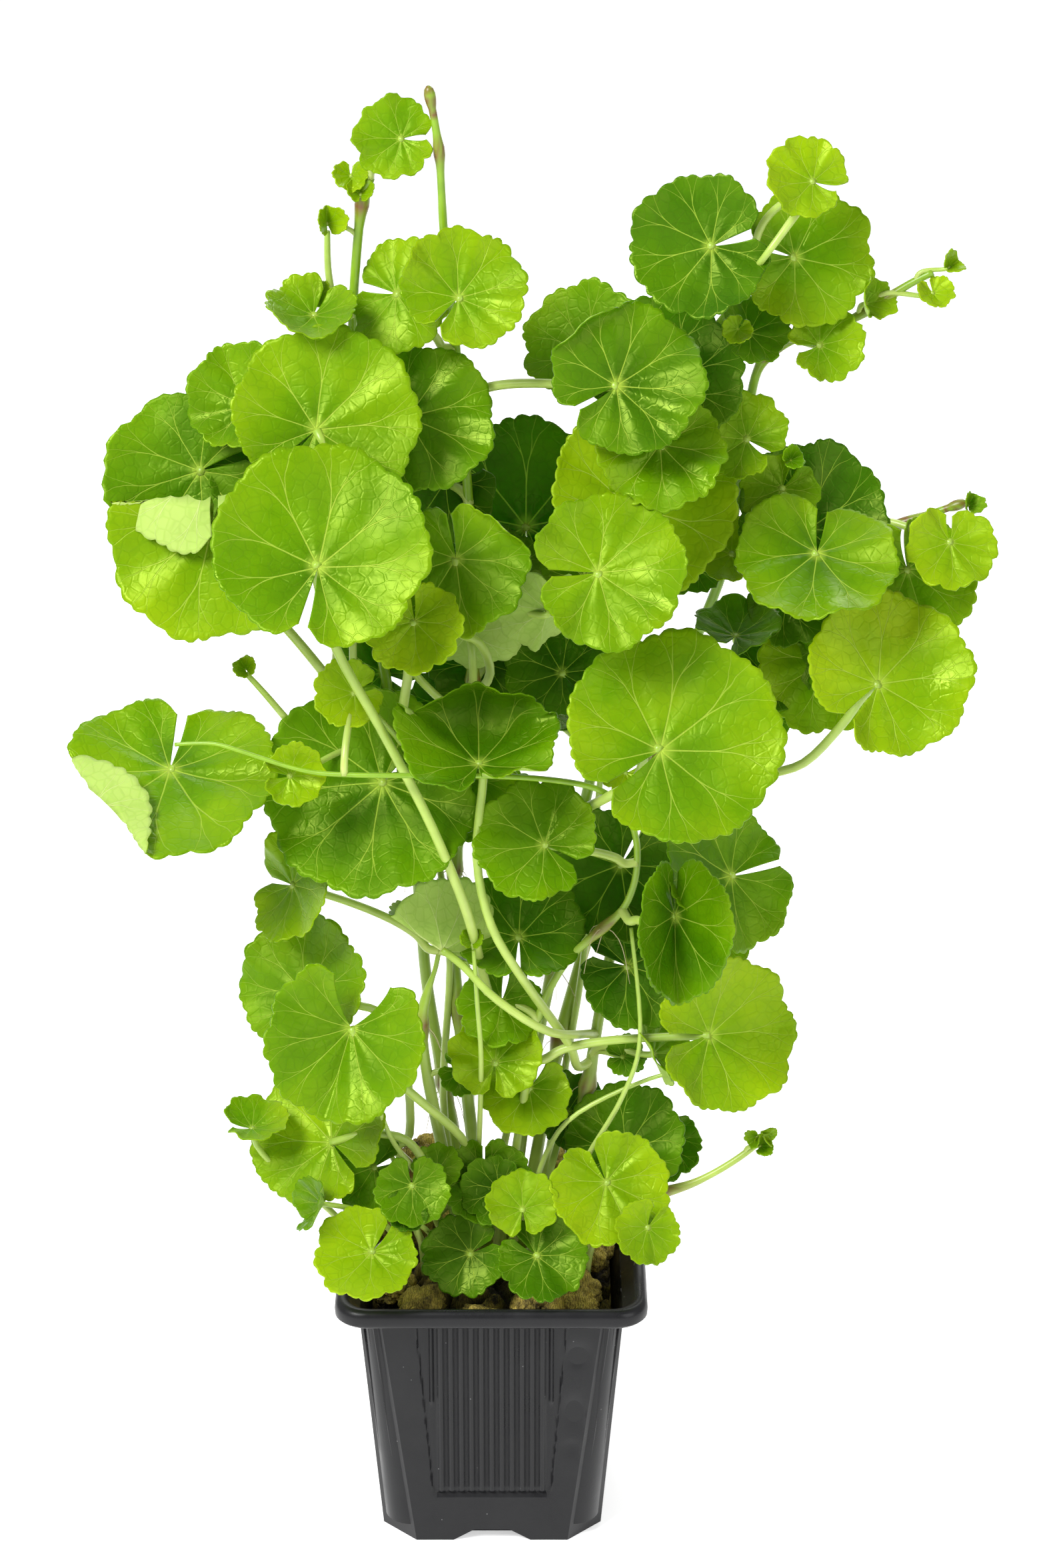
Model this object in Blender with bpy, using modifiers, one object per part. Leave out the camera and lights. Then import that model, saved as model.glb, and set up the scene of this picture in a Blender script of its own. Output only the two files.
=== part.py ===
"""Potted pennywort: a round-leaved creeping plant in a square nursery pot.

The pot stands on z = 0 with its base centre at the origin, +Z up, its front towards -Y.
Sizes are in metres. The plant's own tables are in millimetres, for a pot whose rim is
TABLE_RIM high; place() brings them to the pot and growth that are set here.
"""
import math

import bmesh
import bpy
from mathutils import Matrix, Vector
from mathutils.bvhtree import BVHTree
from mathutils.geometry import interpolate_bezier

MM = 0.001

# Pot: a thin moulded square pot, its corners cut off, with a rounded lip
POT_HEIGHT = 0.084
POT_RIM = 0.090        # outside width over the lip
POT_NECK = 0.0768      # outside width just under the lip
POT_FOOT = 0.0646      # outside width at the floor
POT_WALL = 0.0012
POT_FLOOR = 0.005
LIP_DEPTH = 0.0055     # height of the lip's skirt
LIP_ROLL = 0.0015      # rounding of the lip's top edge
LIP_TOP = 0.002        # flat top of the lip, to where the mouth begins
MOUTH_SLOPE = 0.005    # height over which the mouth narrows to the wall
NECK_CORNER = 0.0065   # cut-off corner under the lip
FOOT_CORNER = 0.010    # cut-off corner at the floor
RIM_CORNER = 0.009     # corner rounding of the lip
CORNER_STEPS = 3       # edges to a corner
NOTCH_WIDTH = 0.0234   # notch in each foot edge, at the floor
NOTCH_TOP = 0.0104
NOTCH_HEIGHT = 0.0038
NOTCH_DEPTH = 0.005
DRAIN_HOLE = 0.0036
DRAIN_SPACING = 0.032

# Growing medium: fibrous lumps packed in the pot, higher at the back
MEDIUM_EDGE = 0.015    # how far below the rim it meets the wall
CROWN_DROP = 0.004     # how far below the rim the stems leave it
CROWN_RADIUS = 0.023   # level patch that the stems stand on
FRONT_DROP = 0.010     # how much lower than the crown it lies in front
DROP_RUN = 0.014       # how far beyond the level patch it takes to get there
MEDIUM_CELLS = 12
HEAPS = (              # lumps: centre x, y, height, radius
    (-0.022, 0.027, 0.027, 0.014), (0.022, 0.028, 0.025, 0.013), (0.001, 0.031, 0.018, 0.010),
    (0.027, -0.020, 0.005, 0.010), (-0.026, -0.021, 0.005, 0.010))

# Plant
GROWTH = 1.0           # size of the plant against its tables
TABLE_RIM = 84.0       # the tables' heights are for a rim at this height, in millimetres
STEM_RADIUS = 0.0023
NODE_SWELLING = 1.35
PETIOLE_RADIUS = 0.0010
PETIOLE_POINTS = 8
PETIOLE_SWELLING = 0.25   # how much thicker a petiole is at its foot
PETIOLE_ARCS = (0.15, 0.3, 0.5)   # how far behind the blade it bows, over its length
PETIOLE_BENDS = (0.0, 0.25, 0.5, 0.75)   # how far it may bow sideways to pass others
PETIOLE_SWINGS = (0, 70, -70, 140, -140)   # where it may leave round the stem, in degrees
LONGEST_PETIOLE = 0.16
SHORTEST_PETIOLE = 0.3    # over the blade's width
OTHER_STEM_COST = 1.6     # how much longer a route from its own stem may be instead
CROWN_STARTS = [(x, y) for x in range(-24, 25, 6) for y in (-28, -22, -16)]   # millimetres
BLADE_THICKNESS = 0.0007
BLADE_SECTORS = 10
BLADE_FULLNESS = 0.6   # how fast the blade widens away from its notch
BLADE_STEPS = 60       # how often a blade may move on by a millimetre to lie clear
TIP_REACH = 0.57       # hub to margin over the blade's width, at the tip and at the notch
NOTCH_REACH = 0.36
GAP = 0.0003           # between pieces that touch
CLEARANCE = 0.0005     # between blades that lie on each other
FRONT = Vector((0.0, -0.93, 0.37))

GREEN = (0.13, 0.32, 0.015, 1.0)
STEM_GREEN = (0.33, 0.50, 0.09, 1.0)
BLACK = (0.012, 0.012, 0.013, 1.0)
BROWN = (0.10, 0.065, 0.02, 1.0)

# Stems: route of points x, y, z, then which points are thickened nodes, then the
# thickness at the tip against the base. A bud ends a stem where the last value says so.
STEMS = {
    "stem_left": (
        [(-7, 4, 80), (-9, 6, 100), (-14, 10, 130), (-19, 12, 163), (-22, 12, 205), (-28, 12, 247),
         (-34, 12, 285), (-37, 12, 325), (-37, 10, 362), (-34, 8, 393), (-31, 6, 402)],
        (3, 6, 9), 0.55, 0.9),
    "stem_centre": (
        [(-2, -2, 80), (-4, 0, 100), (-8, 2, 140), (-11, 4, 178), (-10, 6, 203), (-6, 8, 230),
         (-5, 10, 256), (-5, 12, 290), (-7, 10, 325), (-9, 6, 354), (-12, 4, 386), (-13, 2, 408),
         (-15, 1, 422), (-16, 0, 428)],
        (4, 6, 9, 11), 0.45, 1.0),
    "stem_right": (
        [(5, 3, 80), (7, 6, 100), (12, 12, 135), (19, 17, 170), (26, 19, 210), (34, 19, 250),
         (42, 18, 290), (50, 15, 325), (58, 10, 352), (66, 6, 367), (71, 3, 381)],
        (3, 5, 7, 9), 0.5, 0.6),
    "stem_right_outer": (
        [(9, -3, 80), (12, 5, 102), (20, 18, 140), (31, 25, 180), (44, 26, 220), (55, 24, 255),
         (65, 19, 285), (69, 13, 315), (72, 9, 343), (77, 7, 353), (87, 6, 358), (98, 6, 362),
         (113, 5, 372), (118, 4, 375), (122, 4, 377)],
        (3, 6, 8, 12), 0.4, 0.9),
    "stem_right_low": (
        [(15, 5, 80), (21, 3, 102), (28, 4, 132), (33, 7, 165), (42, 11, 202), (57, 13, 240),
         (74, 14, 268), (92, 12, 288), (109, 8, 301), (120, 6, 306), (127, 5, 309), (132, 4, 311)],
        (3, 5, 7, 10), 0.4, 1.0),
    "stem_runner": (
        [(3, -9, 80), (5, -10, 102), (9, -10, 132), (14, -10, 162), (23, -12, 181), (37, -14, 196),
         (41, -17, 212), (38, -23, 229), (27, -29, 240), (2, -34, 245), (-25, -36, 246),
         (-47, -34, 246), (-62, -31, 249), (-75, -28, 252), (-86, -26, 251)],
        (3, 5), 0.42, 0.8),
    "stem_left_low": (
        [(-9, -5, 80), (-12, -6, 104), (-17, -7, 132), (-20, -8, 158), (-16, -7, 174), (-14, -6, 184)],
        (3,), 0.7, 0.7),
    "stem_side_left": (
        [(-15, 2, 80), (-18, 0, 94), (-24, -2, 108), (-31, -3, 118), (-38, -4, 127)],
        (2,), 0.5, 0.9),
    "stem_side_right": (
        [(15, -7, 80), (19, -10, 91), (30, -13, 99), (44, -13, 104), (58, -12, 108), (69, -11, 114),
         (77, -10, 120), (80, -10, 123)],
        (2, 6), 0.35, 1.1),
}

# Leaves, back to front in each zone: stem that bears it, hub x, y, z, blade width, the
# notch's clock angle and opening, how far the face leans up and turns to the right, and
# how high the margin cups and the two halves fold up, in millimetres and degrees.
LEAVES = {
    "leaf_back_left": ("stem_centre", 10, 26, 296, 52, 270, 22, 25, 0, 3, 0),
    "leaf_back_centre": ("stem_right", 12, 24, 246, 34, 250, 22, 45, 10, 3, 0),
    "leaf_left_wing": ("stem_left", -79, -4, 303, 58, 310, 16, 30, -16, 4, 0),
    "leaf_left_shoulder": ("stem_left", -66, -2, 340, 30, 300, 26, 30, -12, 3, 0),
    "leaf_left_inner": ("stem_left", -22, -5, 338, 41, 150, 24, 34, 12, 4, 0),
    "leaf_left_broad": ("stem_left", -46, -20, 339, 50, 225, 18, 30, 0, 3, 0),
    "leaf_left_front": ("stem_centre", -45, -42, 308, 57, 258, 24, 32, 0, 4, 0),
    "leaf_crown_left": ("stem_left", -47, 4, 363, 24, 60, 26, 66, 6, 3, 4),
    "leaf_crown_back": ("stem_centre", -25, 8, 368, 31, 180, 40, 26, -32, 2, 0),
    "leaf_crown_front": ("stem_centre", -8, -12, 373, 33, 232, 30, 30, 4, 3, 0),
    "leaf_centre_pale": ("stem_centre", -6, 6, 272, 30, 0, 26, 20, 190, 3, 0),
    "leaf_centre_rolled": ("stem_centre", -9, -18, 302, 38, 100, 20, 30, -6, 3, 0),
    "leaf_centre_fresh": ("stem_centre", -20, -29, 288, 26, 95, 24, 30, -4, 3, 3),
    "leaf_right_back": ("stem_right", 26, 16, 350, 34, 270, 24, 28, -25, 3, 0),
    "leaf_right_shade": ("stem_right", 46, 5, 343, 42, 240, 24, 28, 8, 3, 0),
    "leaf_right_pale": ("stem_right", 38, -3, 312, 52, 200, 22, 32, 6, 4, 0),
    "leaf_right_under": ("stem_right", 46, -9, 331, 34, 90, 22, 36, 4, 3, 0),
    "leaf_right_broad": ("stem_right", 34, -16, 350, 42, 213, 26, 30, 0, 3, 0),
    "leaf_right_gloss": ("stem_right", 29, -35, 304, 42, 186, 22, 32, -6, 4, 0),
    "leaf_top_right_back": ("stem_right", 82, 6, 379, 37, 165, 24, 24, 6, 3, 0),
    "leaf_top_right": ("stem_right", 59, -8, 386, 38, 15, 36, 28, -4, 4, 0),
    "leaf_outer_shade": ("stem_right_outer", 88, 14, 299, 42, 250, 22, 26, 8, 3, 0),
    "leaf_outer_far": ("stem_right_low", 115, 11, 288, 36, 100, 22, 28, 14, 3, 0),
    "leaf_outer_open": ("stem_right_low", 89, -13, 302, 43, 82, 34, 56, 0, 3, 0),
    "leaf_side_back": ("stem_right_low", 93, 4, 264, 36, 70, 22, 30, 4, 3, 0),
    "leaf_side_large": ("stem_right_low", 106, -19, 266, 46, 222, 30, 32, 10, 4, 0),
    "leaf_front_large": ("stem_centre", 46, -45, 257, 58, 217, 22, 34, 2, 4, 0),
    "leaf_middle_shade": ("stem_left", -30, -12, 234, 60, 45, 24, 34, -6, 4, 0),
    "leaf_far_left": ("stem_left", -89, -12, 238, 60, 88, 26, 64, -8, 4, 0),
    "leaf_middle_hanging": ("stem_centre", -10, -4, 233, 34, 90, 24, 28, 4, 3, 0),
    "leaf_middle_rolled": ("stem_right", -3, -28, 246, 44, 270, 28, 70, 0, 5, 6),
    "leaf_middle_light": ("stem_right", 15, -28, 222, 34, 330, 24, 30, 0, 3, 0),
    "leaf_middle_dark": ("stem_right_low", 37, 34, 190, 40, 60, 24, 32, 0, 3, 0),
    "leaf_inner_low": ("stem_left_low", 8, 2, 181, 36, 265, 22, 46, 4, 3, 0),
    "leaf_inner_dark": ("stem_right_low", 39, -4, 174, 35, 160, 24, 30, 6, 3, 0),
    "leaf_inner_pale": ("stem_right", -13, -14, 181, 34, 180, 26, 20, 176, 3, 0),
    "leaf_right_folded": ("stem_runner", 53, -36, 200, 41, 95, 20, 30, 4, 3, 14),
    "leaf_right_wing": ("stem_right_low", 68, -6, 203, 43, 356, 26, 30, 40, 4, 0),
    "leaf_right_low": ("stem_runner", 67, -15, 158, 43, 186, 24, 34, 36, 4, 0),
    "leaf_left_narrow": ("stem_left_low", -56, -8, 201, 32, 190, 26, 26, -52, 3, 0),
    "leaf_left_low_back": ("stem_left_low", -53, -10, 168, 40, 290, 24, 30, -30, 3, 0),
    "leaf_left_low_front": ("stem_left_low", -40, -23, 162, 46, 95, 22, 44, -4, 3, 8),
    "leaf_low_left": ("stem_side_left", -46, -15, 123, 44, 335, 24, 34, -36, 3, 0),
    "leaf_low_centre": ("stem_side_left", -2, -16, 113, 26, 90, 22, 36, 4, 3, 0),
    "leaf_low_front_centre": ("stem_side_left", -6, -26, 93, 24, 28, 24, 36, -8, 3, 0),
    "leaf_low_front_left": ("stem_side_left", -34, -38, 100, 29, 55, 26, 50, -6, 4, 0),
    "leaf_low_front_right": ("stem_side_right", 13, -33, 96, 26, 140, 26, 44, 4, 3, 0),
    "leaf_low_right": ("stem_side_right", 33, -24, 115, 34, 112, 22, 40, 4, 3, 0),
    "leaf_low_right_shade": ("stem_side_right", 39, 4, 112, 34, 272, 22, 36, 4, 3, 0),
}


def place(x, y, z):
    """A table's point, in metres, on the pot and growth that are set."""
    return Vector((x * MM * GROWTH, y * MM * GROWTH, POT_HEIGHT + (z - TABLE_RIM) * MM * GROWTH))


def clear_scene():
    for item in list(bpy.data.objects):
        bpy.data.objects.remove(item)


def collection(name):
    group = bpy.data.collections.new(name)
    bpy.context.scene.collection.children.link(group)
    return group


def material(name, colour, roughness):
    made = bpy.data.materials.new(name)
    made.use_nodes = True
    shader = made.node_tree.nodes["Principled BSDF"]
    shader.inputs["Base Color"].default_value = colour
    shader.inputs["Roughness"].default_value = roughness
    shader.inputs["Metallic"].default_value = 0.0
    return made


def add_object(name, bm, group, surface=None, smooth_angle=0.6):
    mesh = bpy.data.meshes.new(name)
    bm.to_mesh(mesh)
    bm.free()
    mesh.shade_smooth()
    mesh.set_sharp_from_angle(angle=smooth_angle)
    item = bpy.data.objects.new(name, mesh)
    group.objects.link(item)
    if surface:
        mesh.materials.append(surface)
    return item


def mark_helper(item):
    item.hide_render = True
    item.display_type = "WIRE"


def combine(item, other, operation):
    step = item.modifiers.new(other.name, "BOOLEAN")
    step.operation = operation
    step.solver = "EXACT"
    step.object = other


# ---------------------------------------------------------------- pot and medium

def square_ring(half, corner, rounded):
    """Points of a square of half-width half, anticlockwise, its corners cut or rounded."""
    points = []
    for side in range(4):
        turn = math.pi / 2 * side
        for step in range(CORNER_STEPS + 1):
            share = step / CORNER_STEPS
            if rounded:
                angle = math.pi / 2 * share
                x = half - corner + corner * math.cos(angle)
                y = half - corner + corner * math.sin(angle)
            else:
                x = half - corner * share
                y = half - corner * (1 - share)
            points.append((x * math.cos(turn) - y * math.sin(turn),
                           x * math.sin(turn) + y * math.cos(turn)))
    return points


def loft_rings(rings):
    """A closed solid through rings of (half, corner, rounded, height), capped at both ends."""
    bm = bmesh.new()
    loops = []
    for half, corner, rounded, height in rings:
        loops.append([bm.verts.new((x, y, height)) for x, y in square_ring(half, corner, rounded)])
    for low, high in zip(loops, loops[1:]):
        for i in range(len(low)):
            bm.faces.new((low[i - 1], low[i], high[i], high[i - 1]))
    bm.faces.new(loops[0])
    bm.faces.new(loops[-1])
    bmesh.ops.recalc_face_normals(bm, faces=bm.faces)
    return bm


def body_half(z):
    """Half-width of the pot's outer wall at a height under the lip."""
    share = z / (POT_HEIGHT - LIP_DEPTH)
    return (POT_FOOT + (POT_NECK - POT_FOOT) * share) / 2


def body_corner(z):
    share = z / (POT_HEIGHT - LIP_DEPTH)
    return FOOT_CORNER + (NECK_CORNER - FOOT_CORNER) * share


def notch_cutters():
    """A bar with slanted sides across the middle of each foot edge, down past the floor."""
    slant = NOTCH_WIDTH - NOTCH_TOP
    for side in range(4):
        bm = bmesh.new()
        bmesh.ops.create_cube(bm, size=1.0)
        for vert in bm.verts:
            low = vert.co.z < 0
            vert.co.x *= NOTCH_WIDTH + slant if low else NOTCH_TOP
            vert.co.y = vert.co.y * 2 * NOTCH_DEPTH - body_half(0)
            vert.co.z = -NOTCH_HEIGHT if low else NOTCH_HEIGHT
        bmesh.ops.rotate(bm, matrix=Matrix.Rotation(math.pi / 2 * side, 3, "Z"), verts=bm.verts)
        yield f"foot_notch_{side + 1}", bm


def drain_cutters():
    for step in range(4):
        bm = bmesh.new()
        turn = Matrix.Rotation(math.pi / 2 * step, 4, "Z")
        centre = turn @ Vector((DRAIN_SPACING / 2, DRAIN_SPACING / 2, POT_FLOOR / 2))
        bmesh.ops.create_cone(bm, cap_ends=True, segments=8, radius1=DRAIN_HOLE / 2,
                              radius2=DRAIN_HOLE / 2, depth=2 * POT_FLOOR,
                              matrix=Matrix.Translation(centre))
        yield f"drain_hole_{step + 1}", bm


def build_pot(group, helpers, surface):
    skirt = POT_HEIGHT - LIP_DEPTH
    rim = POT_RIM / 2
    wall_top = body_half(skirt) - POT_WALL
    rings = [
        (body_half(0), body_corner(0), False, 0.0),
        (body_half(skirt), body_corner(skirt), False, skirt),
        (rim - LIP_ROLL / 2, RIM_CORNER, True, skirt),
        (rim, RIM_CORNER, True, POT_HEIGHT - LIP_ROLL),
        (rim - LIP_ROLL, RIM_CORNER - LIP_ROLL, True, POT_HEIGHT),
        (rim - LIP_TOP, RIM_CORNER - LIP_TOP, True, POT_HEIGHT),
        (wall_top + POT_WALL, body_corner(skirt), True, POT_HEIGHT - MOUTH_SLOPE),
        (wall_top, body_corner(skirt), False, skirt - LIP_ROLL),
        (body_half(POT_FLOOR) - POT_WALL, body_corner(POT_FLOOR), False, POT_FLOOR),
    ]
    pot = add_object("pot", loft_rings(rings), group, surface)
    for cutters in (notch_cutters(), drain_cutters()):
        for name, bm in cutters:
            cutter = add_object(name, bm, helpers)
            mark_helper(cutter)
            combine(pot, cutter, "DIFFERENCE")
    return pot


def medium_height(x, y):
    """Top of the growing medium: level at the crown, sunk in front, heaped at the back."""
    past_crown = max(0.0, math.hypot(x, y) - CROWN_RADIUS) / DROP_RUN
    level = POT_HEIGHT - CROWN_DROP - FRONT_DROP * min(1.0, past_crown)
    for heap_x, heap_y, height, radius in HEAPS:
        away = math.hypot(x - heap_x, y - heap_y) / radius
        level += height * max(0.0, 1.0 - away * away) ** 1.5
    return level


def pull_inside(point, half, corner):
    """Brings a point within the cut-off corners of a square of half-width half."""
    over = (abs(point.x) + abs(point.y) - 2 * half + corner) / 2
    if over > 0:
        point.x -= math.copysign(over, point.x)
        point.y -= math.copysign(over, point.y)


def build_medium(group, surface):
    """The medium fills the pot to its wall, less the gap that keeps the two apart."""
    bottom = POT_FLOOR + GAP
    edge = POT_HEIGHT - MEDIUM_EDGE
    top_half = body_half(edge) - POT_WALL - GAP
    bottom_half = body_half(bottom) - POT_WALL - GAP
    bm = bmesh.new()
    bmesh.ops.create_grid(bm, x_segments=MEDIUM_CELLS, y_segments=MEDIUM_CELLS, size=top_half)
    for vert in bm.verts:
        pull_inside(vert.co, top_half, body_corner(edge))
        vert.co.z = edge if vert.is_boundary else medium_height(vert.co.x, vert.co.y)
    rim_edges = [edge for edge in bm.edges if edge.is_boundary]
    made = bmesh.ops.extrude_edge_only(bm, edges=rim_edges)["geom"]
    for part in made:
        if isinstance(part, bmesh.types.BMVert):
            part.co.x *= bottom_half / top_half
            part.co.y *= bottom_half / top_half
            part.co.z = bottom
            pull_inside(part.co, bottom_half, body_corner(bottom))
    bmesh.ops.holes_fill(bm, edges=[edge for edge in bm.edges if edge.is_boundary], sides=0)
    bmesh.ops.recalc_face_normals(bm, faces=bm.faces)
    return add_object("growing_medium", bm, group, surface)


# ---------------------------------------------------------------- tubes

def smooth_route(points, per_span=2):
    """Points along a smooth curve through the given ones."""
    line = []
    for i in range(len(points) - 1):
        before = points[max(i - 1, 0)]
        after = points[min(i + 2, len(points) - 1)]
        start, end = points[i], points[i + 1]
        lead = start + (end - before) / 6
        lag = end - (after - start) / 6
        line += interpolate_bezier(start, lead, lag, end, per_span + 1)[:-1]
    return line + [points[-1]]


def tube_mesh(name, points, radii):
    """A capped six-sided tube of changing radius: a bevelled curve, made a mesh and welded."""
    curve = bpy.data.curves.new(name, "CURVE")
    curve.dimensions = "3D"
    curve.bevel_depth = 1.0
    curve.bevel_resolution = 1
    curve.use_fill_caps = True
    spline = curve.splines.new("POLY")
    spline.points.add(len(points) - 1)
    for point, at, radius in zip(spline.points, points, radii):
        point.co = (*at, 1.0)
        point.radius = radius
    item = bpy.data.objects.new(name, curve)
    bpy.context.scene.collection.objects.link(item)
    mesh = bpy.data.meshes.new_from_object(item.evaluated_get(bpy.context.evaluated_depsgraph_get()))
    bpy.data.objects.remove(item)
    bpy.data.curves.remove(curve)
    bm = bmesh.new()
    bm.from_mesh(mesh)
    bpy.data.meshes.remove(mesh)
    bmesh.ops.remove_doubles(bm, verts=bm.verts, dist=0.00001)
    bmesh.ops.recalc_face_normals(bm, faces=bm.faces)
    return bm


def tube_tree(points, radius):
    """Collision tree of a four-sided tube that holds a round one of this radius."""
    upright = (points[-1] - points[0]).orthogonal().normalized()
    ring = []
    for i, point in enumerate(points):
        along = points[min(i + 1, len(points) - 1)] - points[max(i - 1, 0)]
        side = along.cross(upright).normalized()
        other = side.cross(along).normalized()
        ring += [point + (side * a + other * b) * radius for a, b in ((1, 1), (-1, 1), (-1, -1), (1, -1))]
    walls = [(4 * i + k, 4 * i + (k + 1) % 4, 4 * i + 4 + (k + 1) % 4, 4 * i + 4 + k)
             for i in range(len(points) - 1) for k in range(4)]
    return BVHTree.FromPolygons(ring, walls, epsilon=0.0)


def stem_line(name):
    """A stem's centre line and the radius at each of its points."""
    route, nodes, tip, bud = STEMS[name]
    points = [place(*point) for point in route]
    points[0].z = POT_HEIGHT - CROWN_DROP + GAP
    line = smooth_route(points)
    line[1].xy = line[0].xy
    last = len(line) - 1
    radii = []
    for i in range(len(line)):
        radius = 1.0 + (tip - 1.0) * i / last
        if i % 2 == 0 and i // 2 in nodes:
            radius *= NODE_SWELLING
        radii.append(radius * STEM_RADIUS * GROWTH)
    radii[-2] = bud * STEM_RADIUS * GROWTH
    radii[-1] = radii[-2] / 2
    return line, radii


# ---------------------------------------------------------------- leaves

def leaf_axes(notch, lean, turn):
    """Side, tip and face directions of a blade whose notch points to a clock angle."""
    lean, turn, notch = math.radians(lean), math.radians(turn), math.radians(notch)
    face = Vector((math.cos(lean) * math.sin(turn), -math.cos(lean) * math.cos(turn), math.sin(lean)))
    up = (Vector((0, 0, 1)) - face * face.z).normalized()
    right = up.cross(face)
    tip = -(right * math.cos(notch) + up * math.sin(notch))
    return tip.cross(face), tip, face


def blade_surface(width, opening, cup, fold):
    """One kidney-shaped sheet about its hub, notch towards -Y, face towards +Z."""
    bm = bmesh.new()
    half_notch = math.radians(opening) / 2
    start = half_notch - math.pi / 2
    spoke = [bm.verts.new((share * math.cos(start), share * math.sin(start), 0)) for share in (0, 0.5, 1)]
    chain = [bm.edges.new(pair) for pair in zip(spoke, spoke[1:])]
    bmesh.ops.spin(bm, geom=spoke + chain, axis=(0, 0, 1), cent=(0, 0, 0),
                   angle=2 * math.pi - 2 * half_notch, steps=BLADE_SECTORS, use_merge=False,
                   use_normal_flip=False, use_duplicate=False)
    bmesh.ops.remove_doubles(bm, verts=bm.verts, dist=0.00001)
    for vert in bm.verts:
        share = vert.co.length
        if share > 0:
            towards_tip = ((1 + vert.co.y / share) / 2) ** BLADE_FULLNESS
            vert.co *= width * (NOTCH_REACH + (TIP_REACH - NOTCH_REACH) * towards_tip)
            spread = vert.co.x / width
            vert.co.z = (cup * share ** 2 + fold * 2 * abs(spread)) * MM * GROWTH
    bm.normal_update()
    for face in bm.faces:
        if face.normal.z < 0:
            face.normal_flip()
    bm.normal_update()
    return bm


def shell_tree(bm, thickness):
    """Collision tree of a sheet as a closed shell of this thickness."""
    count = len(bm.verts)
    points = [vert.co + vert.normal * side * thickness
              for side in (-0.5, 0.5) for vert in bm.verts]
    faces = [[base + vert.index for vert in face.verts] for base in (0, count) for face in bm.faces]
    for edge in bm.edges:
        if edge.is_boundary:
            start, end = (vert.index for vert in edge.verts)
            faces.append((start, end, count + end, count + start))
    return BVHTree.FromPolygons(points, faces, epsilon=0.0)


def set_blade(name, placed):
    """Moves a blade forward until it lies clear of what is placed, and gives its sheet."""
    stem, x, y, z, width, notch, opening, lean, turn, cup, fold = LEAVES[name]
    side, tip, face = leaf_axes(notch, lean, turn)
    turned = Matrix((side, tip, face)).transposed().to_4x4()
    for step in range(BLADE_STEPS):
        hub = place(x, y, z) + FRONT * step * MM
        bm = blade_surface(width * MM * GROWTH, opening, cup, fold)
        bmesh.ops.transform(bm, matrix=Matrix.Translation(hub) @ turned, verts=bm.verts)
        bm.normal_update()
        bm.verts.index_update()
        tree = shell_tree(bm, BLADE_THICKNESS + 2 * CLEARANCE)
        if not any(tree.overlap(other) for other in placed):
            return bm, tree, hub
        bm.free()
    raise ValueError(f"{name} has no clear place")


def petiole_routes(starts, bearer, hub, tip, face, width):
    """Smooth routes from the stems or the medium up to the back of a blade, easiest first."""
    side = tip.cross(face)
    choices = []
    for index, (name, start, run, radius) in enumerate(starts):
        reach = (hub - start).length
        unfit = reach < SHORTEST_PETIOLE * width or reach > LONGEST_PETIOLE * GROWTH
        if unfit or hub.z < start.z:
            continue
        cost = reach if name == bearer else reach * OTHER_STEM_COST
        choices += [(cost * (1 + back + bend + abs(swing) / 180), index, back, bend, swing)
                    for back in PETIOLE_ARCS for bend in PETIOLE_BENDS for swing in PETIOLE_SWINGS]
    for effort, index, back, bend, swing in sorted(choices):
        name, start, run, radius = starts[index]
        reach = (hub - start).length
        for turn in range(0, 360, 45) if bend else (0,):
            sway = tip * math.cos(math.radians(turn)) + side * math.sin(math.radians(turn))
            arrive = hub - face * reach * back + sway * bend * reach
            away = arrive - start
            away -= run * away.dot(run)
            out = (Matrix.Rotation(math.radians(swing), 3, run) @ away).normalized()
            foot = start + out * radius
            yield foot, foot + (out * 0.4 + run * 0.6) * reach * 0.3, arrive


def petiole_starts(stems):
    """Places where a petiole may spring from: along the stems, and on the medium in front."""
    room = (1 + 2 * PETIOLE_SWELLING) * PETIOLE_RADIUS * GROWTH + GAP
    starts = []
    for name, (line, radii) in stems.items():
        for index in range(2, len(line) - 1):
            run = (line[index + 1] - line[index - 1]).normalized()
            starts.append((name, line[index], run, radii[index] + room))
    for x, y in CROWN_STARTS:
        ground = Vector((x * MM, y * MM, medium_height(x * MM, y * MM) + room))
        starts.append(("growing_medium", ground, Vector((0, 0, 1)), 0.0))
    return starts


def set_petiole(name, hub, own, starts, placed):
    """The first route that meets nothing on its way, as a capped tube."""
    bearer, x, y, z, width, notch, opening, lean, turn, cup, fold = LEAVES[name]
    side, tip, face = leaf_axes(notch, lean, turn)
    radius = PETIOLE_RADIUS * GROWTH * (0.75 + width / 120)
    for foot, lead, arrive in petiole_routes(starts, bearer, hub, tip, face, width * MM * GROWTH):
        points = interpolate_bezier(foot, lead, arrive, hub, PETIOLE_POINTS)
        points[-1] = hub + face * BLADE_THICKNESS
        whole = tube_tree(points, radius + GAP)
        below_blade = tube_tree(points[:-1], radius + GAP)
        if below_blade.overlap(own) or any(whole.overlap(other) for other in placed):
            continue
        radii = [radius * (1 + PETIOLE_SWELLING * (1 - i / PETIOLE_POINTS))
                 for i in range(PETIOLE_POINTS)]
        return tube_mesh(name, points, radii), whole
    raise ValueError(f"{name} has no clear petiole")


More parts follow.
